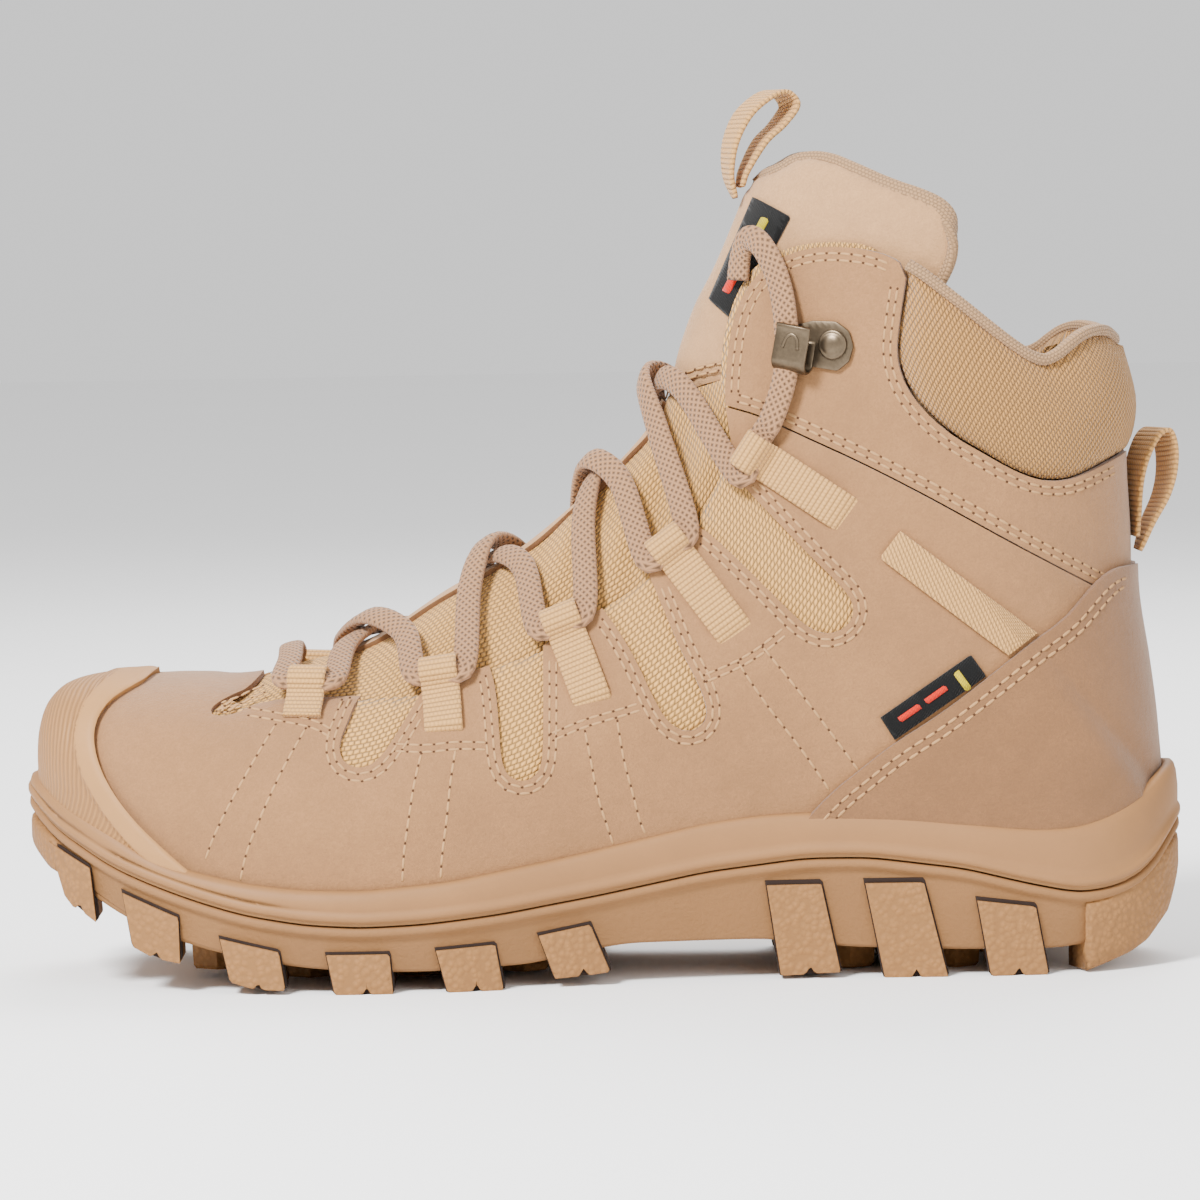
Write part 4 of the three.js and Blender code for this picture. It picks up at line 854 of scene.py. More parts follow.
def needle_hole_shades(name, hole_shades, slot, body):
    """Painted shade of the needle hole between two stitches: a dark flat dome on the hide."""
    vertices, faces = [], []
    turns = [n * 2 * math.pi / HOLE_SIDES for n in range(HOLE_SIDES)]
    for middle, run, up in hole_shades:
        run = unit(run)
        across = np.cross(run, up)
        first = len(vertices)
        for size, rise in HOLE_RINGS:
            for turn in turns:
                offset = run * math.cos(turn) * HOLE_REACH[0] + across * math.sin(turn) * HOLE_REACH[1]
                vertices.append(middle + offset * size + up * rise)
        faces += grid_faces(len(HOLE_RINGS), HOLE_SIDES, first)
        faces += end_faces(len(HOLE_RINGS), HOLE_SIDES, first)[1:]
    thing = new_object(name, vertices, faces)
    weld(thing)
    return finish(thing, "hole_shade", slot, body)


# ---- the upper's pieces ---------------------------------------------------------------------------
NUBUCK = 1.6
CLOTH = 1.2
CLOTH_LIFT = -1.35
BACKING = 1.3
BACKING_LIFT = -1.65
FRONT_SETTLE = 2.6
FOXING_LIFT = 1.9
FOXING_THICKNESS = 1.7
COLLAR_SEAM_LIFT = -1.7
COLLAR_PUFF = 4.3
COLLAR_REACH = 16.0
COLLAR_THICKNESS = 5.5
COLLAR_THIN_AT = 92.0
COLLAR_FULL_AT = 106.0
COLLAR_THINNEST = 0.12
SIDE_TEXTILE = [(-103.7, 78), (-105.6, 70), (-100, 62), (-78, 60), (-74, 53), (-60, 52), (-48, 56),
                (-34, 52), (-26, 48), (-14, 49), (-4, 60), (8, 64), (18, 60), (32, 60), (38, 72),
                (50, 84), (66, 85), (74, 93), (67, 108), (50, 130), (34.5, 140), (31, 131), (24, 118),
                (12, 106), (-1, 97.5), (-16, 87.8), (-32, 82.8), (-47, 77.2), (-64, 76.2), (-83, 75.8),
                (-93, 74.2)]
ANKLE_BACKING = [(33, 150), (31.8, 158), (33.4, 171), (36.8, 181.5), (42, 188.6), (50, 192.6), (60, 194.2),
                 (72, 193), (76, 188), (74, 172), (66, 160), (52, 150), (42, 147)]


def toe_edge():
    """Fan points across the toe between its two foot lines, without the ends."""
    return np.stack([np.zeros(41), np.linspace(1, -1, 41)], 1)[1:-1]


def edge_line(points, step=1.6, rounds=1):
    return st(even(points, step, rounds))


def ring_line(points, step, rounds=0):
    """A closed side-view outline in fan coordinates."""
    return wound(st(even(list(points) + [points[0]], step, rounds)[:-1]))


def vamp():
    top = st(even(ANKLE_FOOT[::-1], 1.6, 1) - np.array([0, 0.5]))
    run = [foot_line(0.0, top[0, 0] - 0.05), top]
    run += [edge_line(window[::-1], 1.2) for window in WINDOWS[::-1]]
    run.append(edge_line(FRONT_NOTCH, 1.0, 2))
    chain = np.concatenate(run)
    front = [[chain[-1, 0], 0.0]]
    polygon = np.concatenate([chain, front, across_boot(chain), toe_edge()])

    def settle(s, t):
        """The leather between the front slots lies down on the tongue."""
        x, _, z = base(s, t).T
        return -FRONT_SETTLE * np.clip((x + 104) / 12, 0, 1) * np.clip((z - 74) / 5, 0, 1) * (s < 8)
    thing = panel("vamp_skin", [polygon], settle, NUBUCK)
    return finish(thing, "nubuck", "nubuck", ROOT, "vamp", rim="cut_edge")


def side_textiles():
    polygon = edge_line(SIDE_TEXTILE, 2.0, 0)
    for outline, (_, word) in zip(both_sides(polygon), SIDES):
        thing = panel(f"window_cloth_{word}", [outline], CLOTH_LIFT, CLOTH, bevel=0)
        finish(thing, "cordura", "cordura", ROOT, f"side_textile_{word}")


def ankle_panels():
    foot = edge_line(ANKLE_FOOT)
    back = edge_line(ANKLE_BACK[::-1])
    front = edge_line(ANKLE_FRONT[::-1])
    heel = foot_line(foot[-1, 0] + 0.05, back[0, 0] - 0.05, 0.1)
    polygon = np.concatenate([foot, heel, back, front[1:-1]])
    thing = panel("ankle_skin", both_sides(polygon), 0.0, NUBUCK)
    finish(thing, "nubuck", "nubuck", ROOT, "ankle_panel_lateral", "ankle_panel_medial", rim="cut_edge")


def ankle_linings():
    """The cordura backing that shows as a narrow border in front of the ankle panel."""
    polygon = ring_line(ANKLE_BACKING, 1.6, 1)
    for outline, (_, word) in zip(both_sides(polygon), SIDES):
        thing = panel(f"ankle_backing_{word}", [outline], BACKING_LIFT, BACKING, 2.4, 0)
        finish(thing, "cordura", "cordura", ROOT, f"ankle_lining_{word}")


def collar():
    back = edge_line([(x + 0.5, z + 0.4) for x, z in ANKLE_BACK])
    top = edge_line(COLLAR_TOP[::-1])
    heel = foot_line(back[-1, 0] + 0.05, top[0, 0] - 0.05, 0.1)
    polygon = np.concatenate([back, heel, top])
    seams = np.concatenate([top, back]) * FAN_MM

    def puff(s, t):
        near = distance_to(seams, np.stack([s, -np.abs(t)], 1) * FAN_MM, 12)
        return COLLAR_SEAM_LIFT + COLLAR_PUFF * swollen(near, COLLAR_REACH)
    thing = panel("collar_pad", both_sides(polygon), puff, COLLAR_THICKNESS, 2.6, 0.4)
    thin_front(thing)
    finish(thing, "cordura_collar", "cordura", ROOT, "collar_cover", "collar_foam")
    collar_binding()


def thin_front(thing):
    """The pad thins to its front, where the tongue's wing lies inside it."""
    group = thing.vertex_groups.new(name="thickness")
    for vertex in thing.data.vertices:
        share = (vertex.co.x / MM - COLLAR_THIN_AT) / (COLLAR_FULL_AT - COLLAR_THIN_AT)
        group.add([vertex.index], min(max(share, COLLAR_THINNEST), 1.0), "REPLACE")
    thing.modifiers["thickness"].vertex_group = group.name


def collar_binding():
    line = st(even([(x + 0.2, z + 0.6) for x, z in COLLAR_TOP], 2.0, 1))
    line = np.concatenate([line, [[line[-1, 0], -1.0]]])
    lateral = surface(line[:, 0], line[:, 1], np.full(len(line), -1.0))
    path = np.concatenate([lateral, (lateral * np.array([1, -1, 1]))[::-1][1:]])
    piping = sweep("collar_binding", curve_through(path[::2], 4), (0, 0, 1), oval(3.2, 3.4, 12))
    finish(piping, "knit", "knit", ROOT, "collar_piping")


def foxing():
    top = edge_line(FOXING_TOP, 1.2)
    low = edge_line([(144, 46), (132, 36), (110, 33.5), (80, 36), (56, 38.5)], 2.0)
    low[0, 1] = -1.0
    heel = foot_line(top[-1, 0] - 0.05, low[0, 0] + 0.05, 0.1)
    polygon = wound(np.concatenate([low, top, heel]))
    thing = panel("foxing_skin", both_sides(polygon), FOXING_LIFT, FOXING_THICKNESS)
    finish(thing, "nubuck_dark", "nubuck", ROOT, "heel_foxing", rim="cut_edge")


BUMPER_LIFT = 2.4
BUMPER_RIDGE = 0.9
RIDGE_WIDTH = 5.4
RIDGE_SLOPE = 0.9
SMOOTH_RIM = 6.2
REAR_STRAP = [(79, 118), (114.5, 90.4), (106.8, 84.8), (73.5, 111)]


def bumper():
    rim = edge_line(RIM, 1.0)
    rim[:, 1] = np.minimum(rim[:, 1], -0.0001)
    chain = np.concatenate([rim, foot_line(rim[-1, 0], 0.0)])
    top = [[rim[0, 0], 0.0]]
    polygon = np.concatenate([chain, toe_edge()[::-1], across_boot(chain), top])[::-1]
    side_rim = even(RIM, 1.0, 1)

    def rise(s, t):
        """A ridge along the rim, lower where the bumper runs out over the toes."""
        near = distance_to(side_rim, base(s, t)[:, [0, 2]])
        ridge = np.clip(near / RIDGE_SLOPE, 0, 1) * np.clip((RIDGE_WIDTH - near) / RIDGE_SLOPE, 0, 1)
        taper = 1 - 0.45 * np.clip((s - 2.6) / 1.6, 0, 1) * np.clip((0.75 - np.abs(t)) / 0.3, 0, 1)
        return (BUMPER_LIFT + BUMPER_RIDGE * np.sqrt(ridge)) * taper
    thing = panel("toe_guard", [polygon], rise, 2.4, 1.3, 0.3)
    mark_rim(thing, side_rim)
    finish(thing, "bumper", "midsole_rubber", ROOT, "toe_bumper", rim="bumper_rim")


def mark_rim(thing, line):
    """Gives the faces beside a side-view line the second material."""
    marks = []
    for face in thing.data.polygons:
        place = np.array(face.center)[[0, 2]] / MM
        marks.append(int(np.min(np.linalg.norm(line - place, axis=1)) < SMOOTH_RIM))
    thing.data.polygons.foreach_set("material_index", marks)


def rear_straps():
    polygon = edge_line(REAR_STRAP + REAR_STRAP[:1], 1.6, 0)[:-1][::-1]
    for outline, (_, word) in zip(both_sides(polygon), SIDES):
        thing = panel(f"quarter_web_{word}", [outline], 1.3, 1.2, 2.4, 0.3)
        finish(thing, "webbing", "webbing", ROOT, f"rear_webbing_{word}")


def patch(name, corners, lift, thickness, key, body, *nodes):
    thing = panel(name, [ring_line(corners, 1.0)], lift, thickness, 2.0, 0)
    return finish(thing, key, "label", body, *nodes)


def strip(start, end, width):
    """The corners of a bar between two side-view points."""
    a, b = np.array(start, float), np.array(end, float)
    across = np.array([-(b - a)[1], (b - a)[0]])
    across *= width / 2 / np.linalg.norm(across)
    return [tuple(a + across), tuple(b + across), tuple(b - across), tuple(a - across)]


def side_label():
    corners = [(73.1, 69), (97, 85.2), (101, 79.5), (76.8, 63)]
    patch("quarter_label", corners, 1.1, 0.8, "black", ROOT, "side_label")
    patch("quarter_label_dash_1", strip((78, 68.3), (83.5, 72), 1.6), 1.3, 0.3, "orange", ROOT)
    patch("quarter_label_dash_2", strip((85, 73), (90.5, 76.8), 1.6), 1.3, 0.3, "orange", ROOT)
    patch("quarter_label_bar", strip((93, 80.8), (96.4, 76), 1.8), 1.3, 0.3, "yellow", ROOT)


# ---- tongue ---------------------------------------------------------------------------------------
TONGUE_CLOTH_LIFT = -4.2
GUSSET_FOLD = 0.75
SPINE_LIFT = -2.9
SPINE_HALF_WIDTH = 0.05
PAD_SEAM_LIFT = -5.4
PAD_PUFF = 1.7
PAD_REACH = 14.0
PAD_THICKNESS = 4.4
BINDING_LIFT = -6.6
TONGUE_LABEL = [(40, 206.8), (50, 201), (35.2, 173.8), (28.2, 180.1)]
PAD_TOP = TONGUE_TOP + [(40, 213.4)]
TONGUE_PULL = [(38, 205.6), (36.2, 212), (37, 220.5), (41, 228), (47.5, 232.8), (52, 233.5), (54.4, 230),
               (50.5, 225), (45.3, 220.4), (40.7, 213), (39.4, 208.6)]
HEEL_PULL = [(144.6, 109.5), (147.6, 117), (151.4, 124), (153.4, 130.5), (153.7, 137), (152, 141.4),
             (148.6, 140.4), (145.4, 135), (143.7, 128), (143.5, 119), (143.5, 113.5)]
PULL_WIDTH = 12.0
PULL_THICKNESS = 1.35
PULL_TWIST = 26.0


def closed_half(chain):
    """A lateral chain that starts and ends near the top line, closed with its mirror image."""
    first, last = [[chain[0, 0], 0.0]], [[chain[-1, 0], 0.0]]
    return wound(np.concatenate([chain, last, across_boot(chain), first]))


def tongue_gusset():
    seam = edge_line([(39, 159.3), (27, 157.7), (20, 155.3), (14, 153.6)], 1.6)
    chain = np.concatenate([edge_line(TONGUE_EDGE + [(39.5, 159.3)]), seam])

    def folds(s, t):
        """Loose folds that fade towards the toe and the middle."""
        x, _, z = base(s, t).T
        fade = np.clip((x + 55) / 60, 0.15, 1) * np.clip(np.abs(t) / 0.12, 0, 1)
        wave = np.sin(x * 0.42 - z * 0.16) + 0.6 * np.sin(x * 0.17 + z * 0.33)
        return TONGUE_CLOTH_LIFT + GUSSET_FOLD * fade * wave
    thing = panel("tongue_gusset", [closed_half(chain)], folds, 4.0, 2.2, 0)
    finish(thing, "cordura", "cordura", ROOT, "tongue_lower")


def tongue_spine():
    rows = np.linspace(7.6, 13.6, 60)
    half = SPINE_HALF_WIDTH + 0.006 * np.sin(rows * 5.0)
    outline = np.concatenate([np.stack([rows, -half], 1), np.stack([rows, half], 1)[::-1]])
    thing = panel("tongue_spine", [outline], SPINE_LIFT, BACKING, 1.6, 0.3)
    finish(thing, "nubuck_light", "nubuck", ROOT, rim="cut_edge")


def tongue_pad():
    seam = edge_line([(14, 154.1), (20, 155.8), (27, 158.2), (39, 159.8)], 1.6)
    chain = np.concatenate([seam, edge_line(TONGUE_WING), edge_line(PAD_TOP)])
    seams = chain * FAN_MM

    def puff(s, t):
        near = distance_to(seams, np.stack([s, -np.abs(t)], 1) * FAN_MM)
        return PAD_SEAM_LIFT + PAD_PUFF * swollen(near, PAD_REACH)
    thing = panel("tongue_top_pad", [closed_half(chain)], puff, PAD_THICKNESS, 2.8, 0.6)
    finish(thing, "nubuck_light", "nubuck", FLAP, "tongue_upper", "tongue_lining", rim="knit")


def tongue_binding():
    s, t = st(even(TONGUE_WING[3:] + PAD_TOP, 1.6, 1)).T
    half = surface(s, t, np.full(len(s), BINDING_LIFT))
    path = np.concatenate([half, (half * np.array([1, -1, 1]))[::-1]])
    binding = sweep("tongue_binding", curve_through(path[::2], 3), (0, 0.3, 1), oval(5.4, 3.2, 12))
    finish(binding, "knit", "knit", FLAP)


def tongue():
    tongue_gusset()
    tongue_spine()
    tongue_pad()
    tongue_binding()
    patch("tongue_patch", TONGUE_LABEL, -2.9, 0.8, "black", FLAP, "tongue_label")
    patch("tongue_patch_dash", strip((33, 181.5), (38.5, 191.5), 2.2), -2.7, 0.3, "orange", FLAP)
    patch("tongue_patch_bar", strip((41, 196), (43.6, 200.8), 2.2), -2.7, 0.3, "yellow", FLAP)


def pulls():
    """Folded straps, each turned about its stitched end as it hangs in the photo."""
    for name, points, body in (("tongue_pull", TONGUE_PULL, "tongue_pull_loop"),
                               ("heel_pull", HEEL_PULL, "heel_pull_loop")):
        line = curve_through(points, 6)
        foot, top = line[0, 1], line[:, 1].max()
        turn = math.radians(PULL_TWIST) * np.clip((line[:, 1] - foot) / (top - foot), 0, 1) ** 0.7
        reach = line[:, 0] - line[0, 0]
        path = np.stack([line[0, 0] + reach * np.cos(turn), reach * np.sin(turn), line[:, 1]], 1)
        side = np.stack([-np.sin(turn), np.cos(turn), 0 * turn], 1)
        thing = sweep(f"{name}_web", path, side, flat_outline(PULL_WIDTH, PULL_THICKNESS))
        finish(thing, "webbing", "webbing", body, name)


# ---- lace loops, hooks and the lace ---------------------------------------------------------------
LOOPS = [((-79, 71.8), (-76.4, 83), 1.7), ((-41.5, 67.3), (-42.5, 86), 1.7), ((-2, 73.6), (-11.2, 99), 1.6),
         ((36.5, 90.2), (16, 117.6), 1.6), ((66.5, 121.3), (38, 140.6), 2.4)]
WEBBING = 1.3
LOOP_WIDTH = 10.2
EYE_RADIUS = 2.5
EYE_MIDDLE = EYE_RADIUS + WEBBING / 2
RAMP = 8.0
STRAP_LIFTS = (-1.6, 0.4, 0.95, 0.95, 0.95, 0.95, 0.95)
EYES = {}


def loop_frame(foot, tip, side):
    """Where a loop's eye lies, with its own directions and its place in the fan."""
    foot, tip = np.array(foot), np.array(tip)
    eye = tip - unit(tip - foot) * (EYE_MIDDLE + WEBBING / 2)
    found = st([eye, foot], side)
    places = surface(found[:, 0], found[:, 1], np.zeros(2))
    up = normal(found[:1, 0], found[:1, 1])[0]
    run = places[0] - places[1]
    forward = unit(run - up * (run @ up))
    across = np.cross(forward, up)
    s, t = found[0]
    return dict(eye=eye, origin=places[0], normal=up, forward=forward, across=across, s=s, t=t)


def lace_loops():
    """Straps stitched down at the foot, their far ends curled into an eye that stands off the upper."""
    for side, word in SIDES:
        EYES[side] = []
        for index, (foot, tip, rise) in enumerate(LOOPS):
            eye = loop_frame(foot, tip, side)
            eye["rise"] = rise
            EYES[side].append(eye)
            start = np.array(foot)
            run = eye["eye"] - start
            last = 1 - RAMP / np.linalg.norm(run)
            strap = [start + run * f for f in np.linspace(0, last, len(STRAP_LIFTS))]
            points, _ = on_side(strap, side, STRAP_LIFTS)
            turn = np.pi * (0.5 - np.arange(11) / 8)
            local = [(-RAMP + 3, WEBBING), (-2.6, rise + EYE_MIDDLE - 0.55)]
            local += [(EYE_MIDDLE * math.cos(a), rise + EYE_MIDDLE * math.sin(a)) for a in turn]
            curl = [eye["origin"] + eye["forward"] * a + eye["normal"] * b for a, b in local]
            path = curve_through(np.concatenate([points, curl]), 3)
            outline = flat_outline(LOOP_WIDTH, WEBBING)
            thing = sweep(f"lace_keeper_{word}_{index + 1}", path, eye["across"], outline)
            finish(thing, "webbing", "webbing", ROOT, f"lace_loop_{word}_{index + 1}")


ON_TONGUE = -0.9
LACE_STEP = 6.6
LACE_WIDTH = 6.8
LACE_THICKNESS = 2.9
CROSSING_LIFT = 4.3
BAR_LIFT = 0.2
BAR_REACH = 5.4
HOOK_RUN = [(46.8, 147, 3.2), (49.8, 155, 3.2), (51.6, 162, 3.9), (51.8, 167, 3.9), (51.8, 172, 3.9),
            (50.6, 180, 2.8), (48.6, 187.5, 2.8), (45.4, 193.4, 2.8), (41.6, 194.6, 1.6), (39, 190.5, 0.2),
            (37.8, 184, -0.3)]


def through_eye(side, index):
    """The lace's points through one eye, from the front to the back."""
    eye = EYES[side][index]
    sign = 1 if eye["across"][0] > 0 else -1
    centre = eye["origin"] + eye["normal"] * eye["rise"]
    points = [centre + eye["across"] * d * sign for d in (-LACE_STEP, 0, LACE_STEP)]
    return [(p, eye["normal"]) for p in points]


def over_tongue(start, end, lift):
    """The lace's points between two eyes; the run that lies on top is lifted."""
    result = []
    for f, rise in ((0.27, lift * 0.35), (0.5, lift), (0.73, lift * 0.35)):
        s = start["s"] + (end["s"] - start["s"]) * f
        t = start["t"] + (end["t"] - start["t"]) * f
        result.append((surface(s, t, ON_TONGUE + rise), normal(s, t)))
    return result


def up_to_hook(side):
    """The lace's points from the last eye around the hook to its tucked end."""
    result = []
    for x, z, height in HOOK_RUN:
        found = st([(x, z)], side)[0]
        result.append((surface(found[0], found[1], height), normal(found[0], found[1])))
    return result


HOOK_AT = (54, 167)
RIVET_AT = (62.6, 166.9)
PLATE_OUTLINE = [(51.5, 162.6), (57.5, 161), (63.6, 160), (66.6, 162.4), (67.8, 166.4), (66.8, 170.4),
                 (63.6, 172.9), (57.5, 173.2), (51.5, 171.6)]
HOOK_BEND = 2.9
HOOK_TOP = 2 * HOOK_BEND
HOOK_FLOOR = 0.8
CLAW_WIDTH = 9.6
PLATE = 0.95
STUD_RINGS = [(3.0, 0.9), (3.9, 1.3), (4.0, 1.7), (3.8, 2.0), (3.3, 2.15), (3.1, 2.1), (2.6, 2.45),
              (1.6, 2.75), (0.6, 2.85)]


def side_frame(place, side):
    """A place on the upper with the directions out, to the front and along the height."""
    found = st([place], side)[0]
    up = normal(found[0], found[1])
    forward = np.cross(np.array([0.0, 1.0, 0.0]), up)
    forward *= -np.sign(forward[0]) / np.linalg.norm(forward)
    return surface(found[0], found[1], 0.0), up, forward, np.cross(forward, up)


def turned(name, origin, up, forward, across, rings, sides=28):
    """A round piece: radius and height at each step of its profile."""
    angles = np.linspace(0, 2 * math.pi, sides, endpoint=False)
    ring = forward * np.cos(angles)[:, None] + across * np.sin(angles)[:, None]
    return tube(name, [origin + ring * radius + up * rise for radius, rise in rings])


def hook(side, word, polygon):
    """A plate held by a stud, and a claw bent back over the plate with a raised ridge on it."""
    origin, up, forward, across = side_frame(HOOK_AT, side)
    plate = panel(f"hook_plate_{word}", [polygon], 1.25, PLATE, 1.4, 0.25)
    finish(plate, "nickel", "nickel", ROOT)
    arc = [math.pi * (n / 10 - 0.5) for n in range(11)]
    local = [(-1.5, HOOK_FLOOR), (1.5, HOOK_FLOOR), (3.0, HOOK_FLOOR)]
    local += [(4.2 + HOOK_BEND * math.cos(a), HOOK_FLOOR + HOOK_BEND * (1 + math.sin(a))) for a in arc]
    local += [(2, HOOK_TOP + 0.85), (-1.5, HOOK_TOP + 0.95), (-3.6, HOOK_TOP + 1.25), (-4.6, HOOK_TOP + 1.8)]
    path = curve_through([origin + forward * a + up * b for a, b in local], 3)
    claw = sweep(f"hook_claw_{word}", path, across, flat_outline(CLAW_WIDTH, PLATE, 0.4, 5))
    finish(claw, "nickel", "nickel", ROOT, f"lace_hook_{word}")
    ridge = [origin + forward * a + across * b + up * (HOOK_TOP + 1.45)
             for a, b in ((1.5, -2.2), (-1.2, -1.5), (-2.2, 0), (-1.2, 1.5), (1.5, 2.2))]
    emboss = sweep(f"hook_ridge_{word}", curve_through(ridge, 5), up, oval(0.5, 1.0, 8))
    finish(emboss, "nickel", "nickel", ROOT)
    rivet = turned(f"hook_stud_{word}", *side_frame(RIVET_AT, side), STUD_RINGS)
    finish(rivet, "nickel", "nickel", ROOT, f"hook_rivet_{word}")


def hooks():
    polygon = st(even(PLATE_OUTLINE + PLATE_OUTLINE[:1], 0.8)[:-1])
    for outline, (side, word) in zip(both_sides(polygon), SIDES):
        hook(side, word, outline)


def front_bar():
    """The lace's points across the front, between the two lowest eyes."""
    first, second = EYES[-1][0], EYES[1][0]
    result = []
    for f in (0.25, 0.5, 0.75):
        t = first["t"] + (second["t"] - first["t"]) * f
        place = surface(first["s"], t, ON_TONGUE + BAR_LIFT) - np.array([BAR_REACH, 0, 0])
        result.append((place, normal(first["s"], t)))
    return result


def lace():
    """From the lateral hook down to the toe, across, and up to the medial hook over the first run."""
    down = []
    for i in (4, 3, 2, 1, 0):
        side = -1 if i % 2 == 0 else 1
        down += through_eye(side, i)[::-1]
        if i > 0:
            down += over_tongue(EYES[side][i], EYES[-side][i - 1], 0)
    back = []
    for i in range(5):
        side = 1 if i % 2 == 0 else -1
        back += through_eye(side, i)
        if i < 4:
            back += over_tongue(EYES[side][i], EYES[-side][i + 1], CROSSING_LIFT)
    route = up_to_hook(-1)[::-1] + down + front_bar() + back + up_to_hook(1)
    path = curve_through([p for p, _ in route], 6)
    ups = curve_through([n for _, n in route], 6)
    side = np.cross(np.gradient(path, axis=0), ups)
    thing = sweep("lace_cord", path, side, oval(LACE_WIDTH, LACE_THICKNESS, 16))
    finish(thing, "lace", "lace", ROOT, "lace")


# ---- sole unit ------------------------------------------------------------------------------------
def plan_ring(count=420):
    """The sole's outline from above, in even steps, with the outward direction at each step."""
    phi = np.linspace(0, math.pi, 4001)
    x = -SOLE_LENGTH / 2 * np.cos(phi)
    half = plan_half(x, 0.0)
    half[0] = half[-1] = 0
    centre = soft_along(CENTRE, x)
    loop = np.concatenate([np.stack([x, centre - half], 1), np.stack([x, centre + half], 1)[::-1][1:-1]])
    closed = np.concatenate([loop, loop[:1]])
    length = lengths_along(closed)
    at = np.linspace(0, length[-1], count, endpoint=False)
    ring = np.stack([np.interp(at, length, closed[:, c]) for c in (0, 1)], 1)
    run = np.roll(ring, -1, axis=0) - np.roll(ring, 1, axis=0)
    return ring, unit(np.stack([run[:, 1], -run[:, 0]], 1))


RING, RING_OUT = plan_ring()
RIDGE_RISE = 2.0


def band(name, rows, key, slot, *nodes):
    """A wall that follows the outline, its section given as inset and height at each place."""
    vertices = [np.column_stack([RING - RING_OUT * inset, height(RING[:, 0])]) for inset, height in rows]
    faces = grid_faces(len(RING), len(rows), run_closed=True)
    thing = new_object(name, np.stack(vertices, 1).reshape(-1, 3), faces)
    weld(thing)
    return finish(thing, key, slot, ROOT, *nodes)


def line_of(table, lift=0.0):
    return lambda x: soft_along(table, x) + lift


def between(share):
    """A height that runs between the ridge over the bead and the wall's top."""
    return lambda x: (soft_along(BEAD, x) + RIDGE_RISE) * (1 - share) + soft_along(WALL_TOP, x) * share


WALL_SECTION = [
    (7, line_of(WALL_TOP, -9)), (5.0, line_of(WALL_TOP, -3)), (4.4, line_of(WALL_TOP, -0.4)),
    (3.6, line_of(WALL_TOP, 0.1)), (2.2, line_of(WALL_TOP)), (1.5, line_of(WALL_TOP, -0.7)),
    (0.9, between(0.8)), (0.5, between(0.5)), (0.5, between(0.3)), (0.55, line_of(BEAD, 3.9)),
    (0.1, line_of(BEAD, 3.2)), (-0.15, line_of(BEAD, 2.6)), (-0.15, line_of(BEAD, 1.7)),
    (0.5, line_of(BEAD, 1.1)), (1.0, line_of(BEAD, 0.8)), (0.7, line_of(BEAD, 0.2)),
    (7, line_of(BEAD, 0.1))]
SHELL_SECTION = [
    (7, line_of(BEAD, 0)), (0.9, line_of(BEAD, -0.4)), (0.3, line_of(BEAD, -0.8)),
    (0.2, line_of(BEAD, -1.9)), (0.6, line_of(BEAD, -2.6)), (1.5, line_of(BEAD, -3.2)),
    (2.0, line_of(BEAD, -4)), (2.2, line_of(CARRIER, 1.0)), (3.0, line_of(CARRIER, 0.1)),
    (9, line_of(CARRIER, 0.2)), (9, line_of(CARRIER, 3))]
FLOOR_INSET = 2.9
FLOOR_THICKNESS = 2.5
FLOOR_ROWS = 151
FLOOR_COLUMNS = 25


def outsole_floor():
    x = np.linspace(-150, 150, FLOOR_ROWS)
    half = np.maximum(plan_half(x, FLOOR_INSET), 0.5)
    grid_x, share = np.meshgrid(x, np.linspace(-1, 1, FLOOR_COLUMNS), indexing="ij")
    grid_y = soft_along(CENTRE, x)[:, None] + half[:, None] * share
    grid_z = np.broadcast_to((soft_along(CARRIER, x) + 0.15)[:, None], grid_x.shape)
    faces = grid_faces(FLOOR_ROWS, FLOOR_COLUMNS, section_closed=False)
    thing = new_object("outsole_floor", np.stack([grid_x, grid_y, grid_z], -1).reshape(-1, 3), faces)
    solid = thing.modifiers.new("thickness", "SOLIDIFY")
    solid.thickness = FLOOR_THICKNESS * MM
    solid.offset = -1
    finish(thing, "carrier", "outsole_rubber", ROOT)


def sole():
    band("midsole_wall", WALL_SECTION, "midsole", "midsole_rubber", "midsole")
    band("outsole_shell", SHELL_SECTION, "carrier", "outsole_rubber")
    outsole_floor()


LUGS = [
    [(-148, 38), (-136, 32), (-134.5, 17.7), (-138, 20), (-139, 22.4), (-140.6, 20.8), (-143.5, 24)],
    [(-127, 26), (-112, 20), (-111.8, 8), (-117, 9), (-118, 11), (-119.5, 9.6), (-124.5, 12)],
    [(-101, 14.6), (-85.5, 11.2), (-84, 1.2), (-90, 1.4), (-91, 3.2), (-92.4, 1.6), (-98.5, 3.4)],
    [(-73, 10.4), (-56.6, 10.4), (-55.8, 0), (-61.5, 0), (-62.6, 2), (-63.8, 0), (-71, 0)],
    [(-44.4, 11), (-29, 12), (-27, 0), (-32.8, 0), (-34, 2), (-35.2, 0), (-41.6, 0)],
    [(-17.6, 13.8), (-4, 16.2), (1, 3.6), (-4.6, 3), (-6, 4.8), (-7.2, 2.8), (-13.5, 2.4)],
    [(42.6, 25), (57, 25), (61.8, 1.6), (55, 1.4), (53.8, 3.4), (52.4, 1.2), (46, 1)],
    [(68.6, 25), (84, 25), (90, 0), (83, 0), (81.8, 2.2), (80.4, 0), (73.4, 0)],
    [(98, 20), (113.4, 18), (116.6, 0), (110, 0), (108.8, 2.2), (107.4, 0), (101.4, 0)],
]
LUG_DEPTH = 24.0
LUG_INSET = 0.4
LUG_GRID = 2.2
SEAT_DEPTH = 8.0
SEAT_INSET = 1.75
SEAT_GROWTH = 1.05
SEAT_RISE = 0.45
TIP_SECTION = [(14, 1), (1.4, 1), (0.7, 0.95), (0.5, 0.8), (0.5, 0.2), (0.7, 0.05), (1.4, 0), (14, 0)]
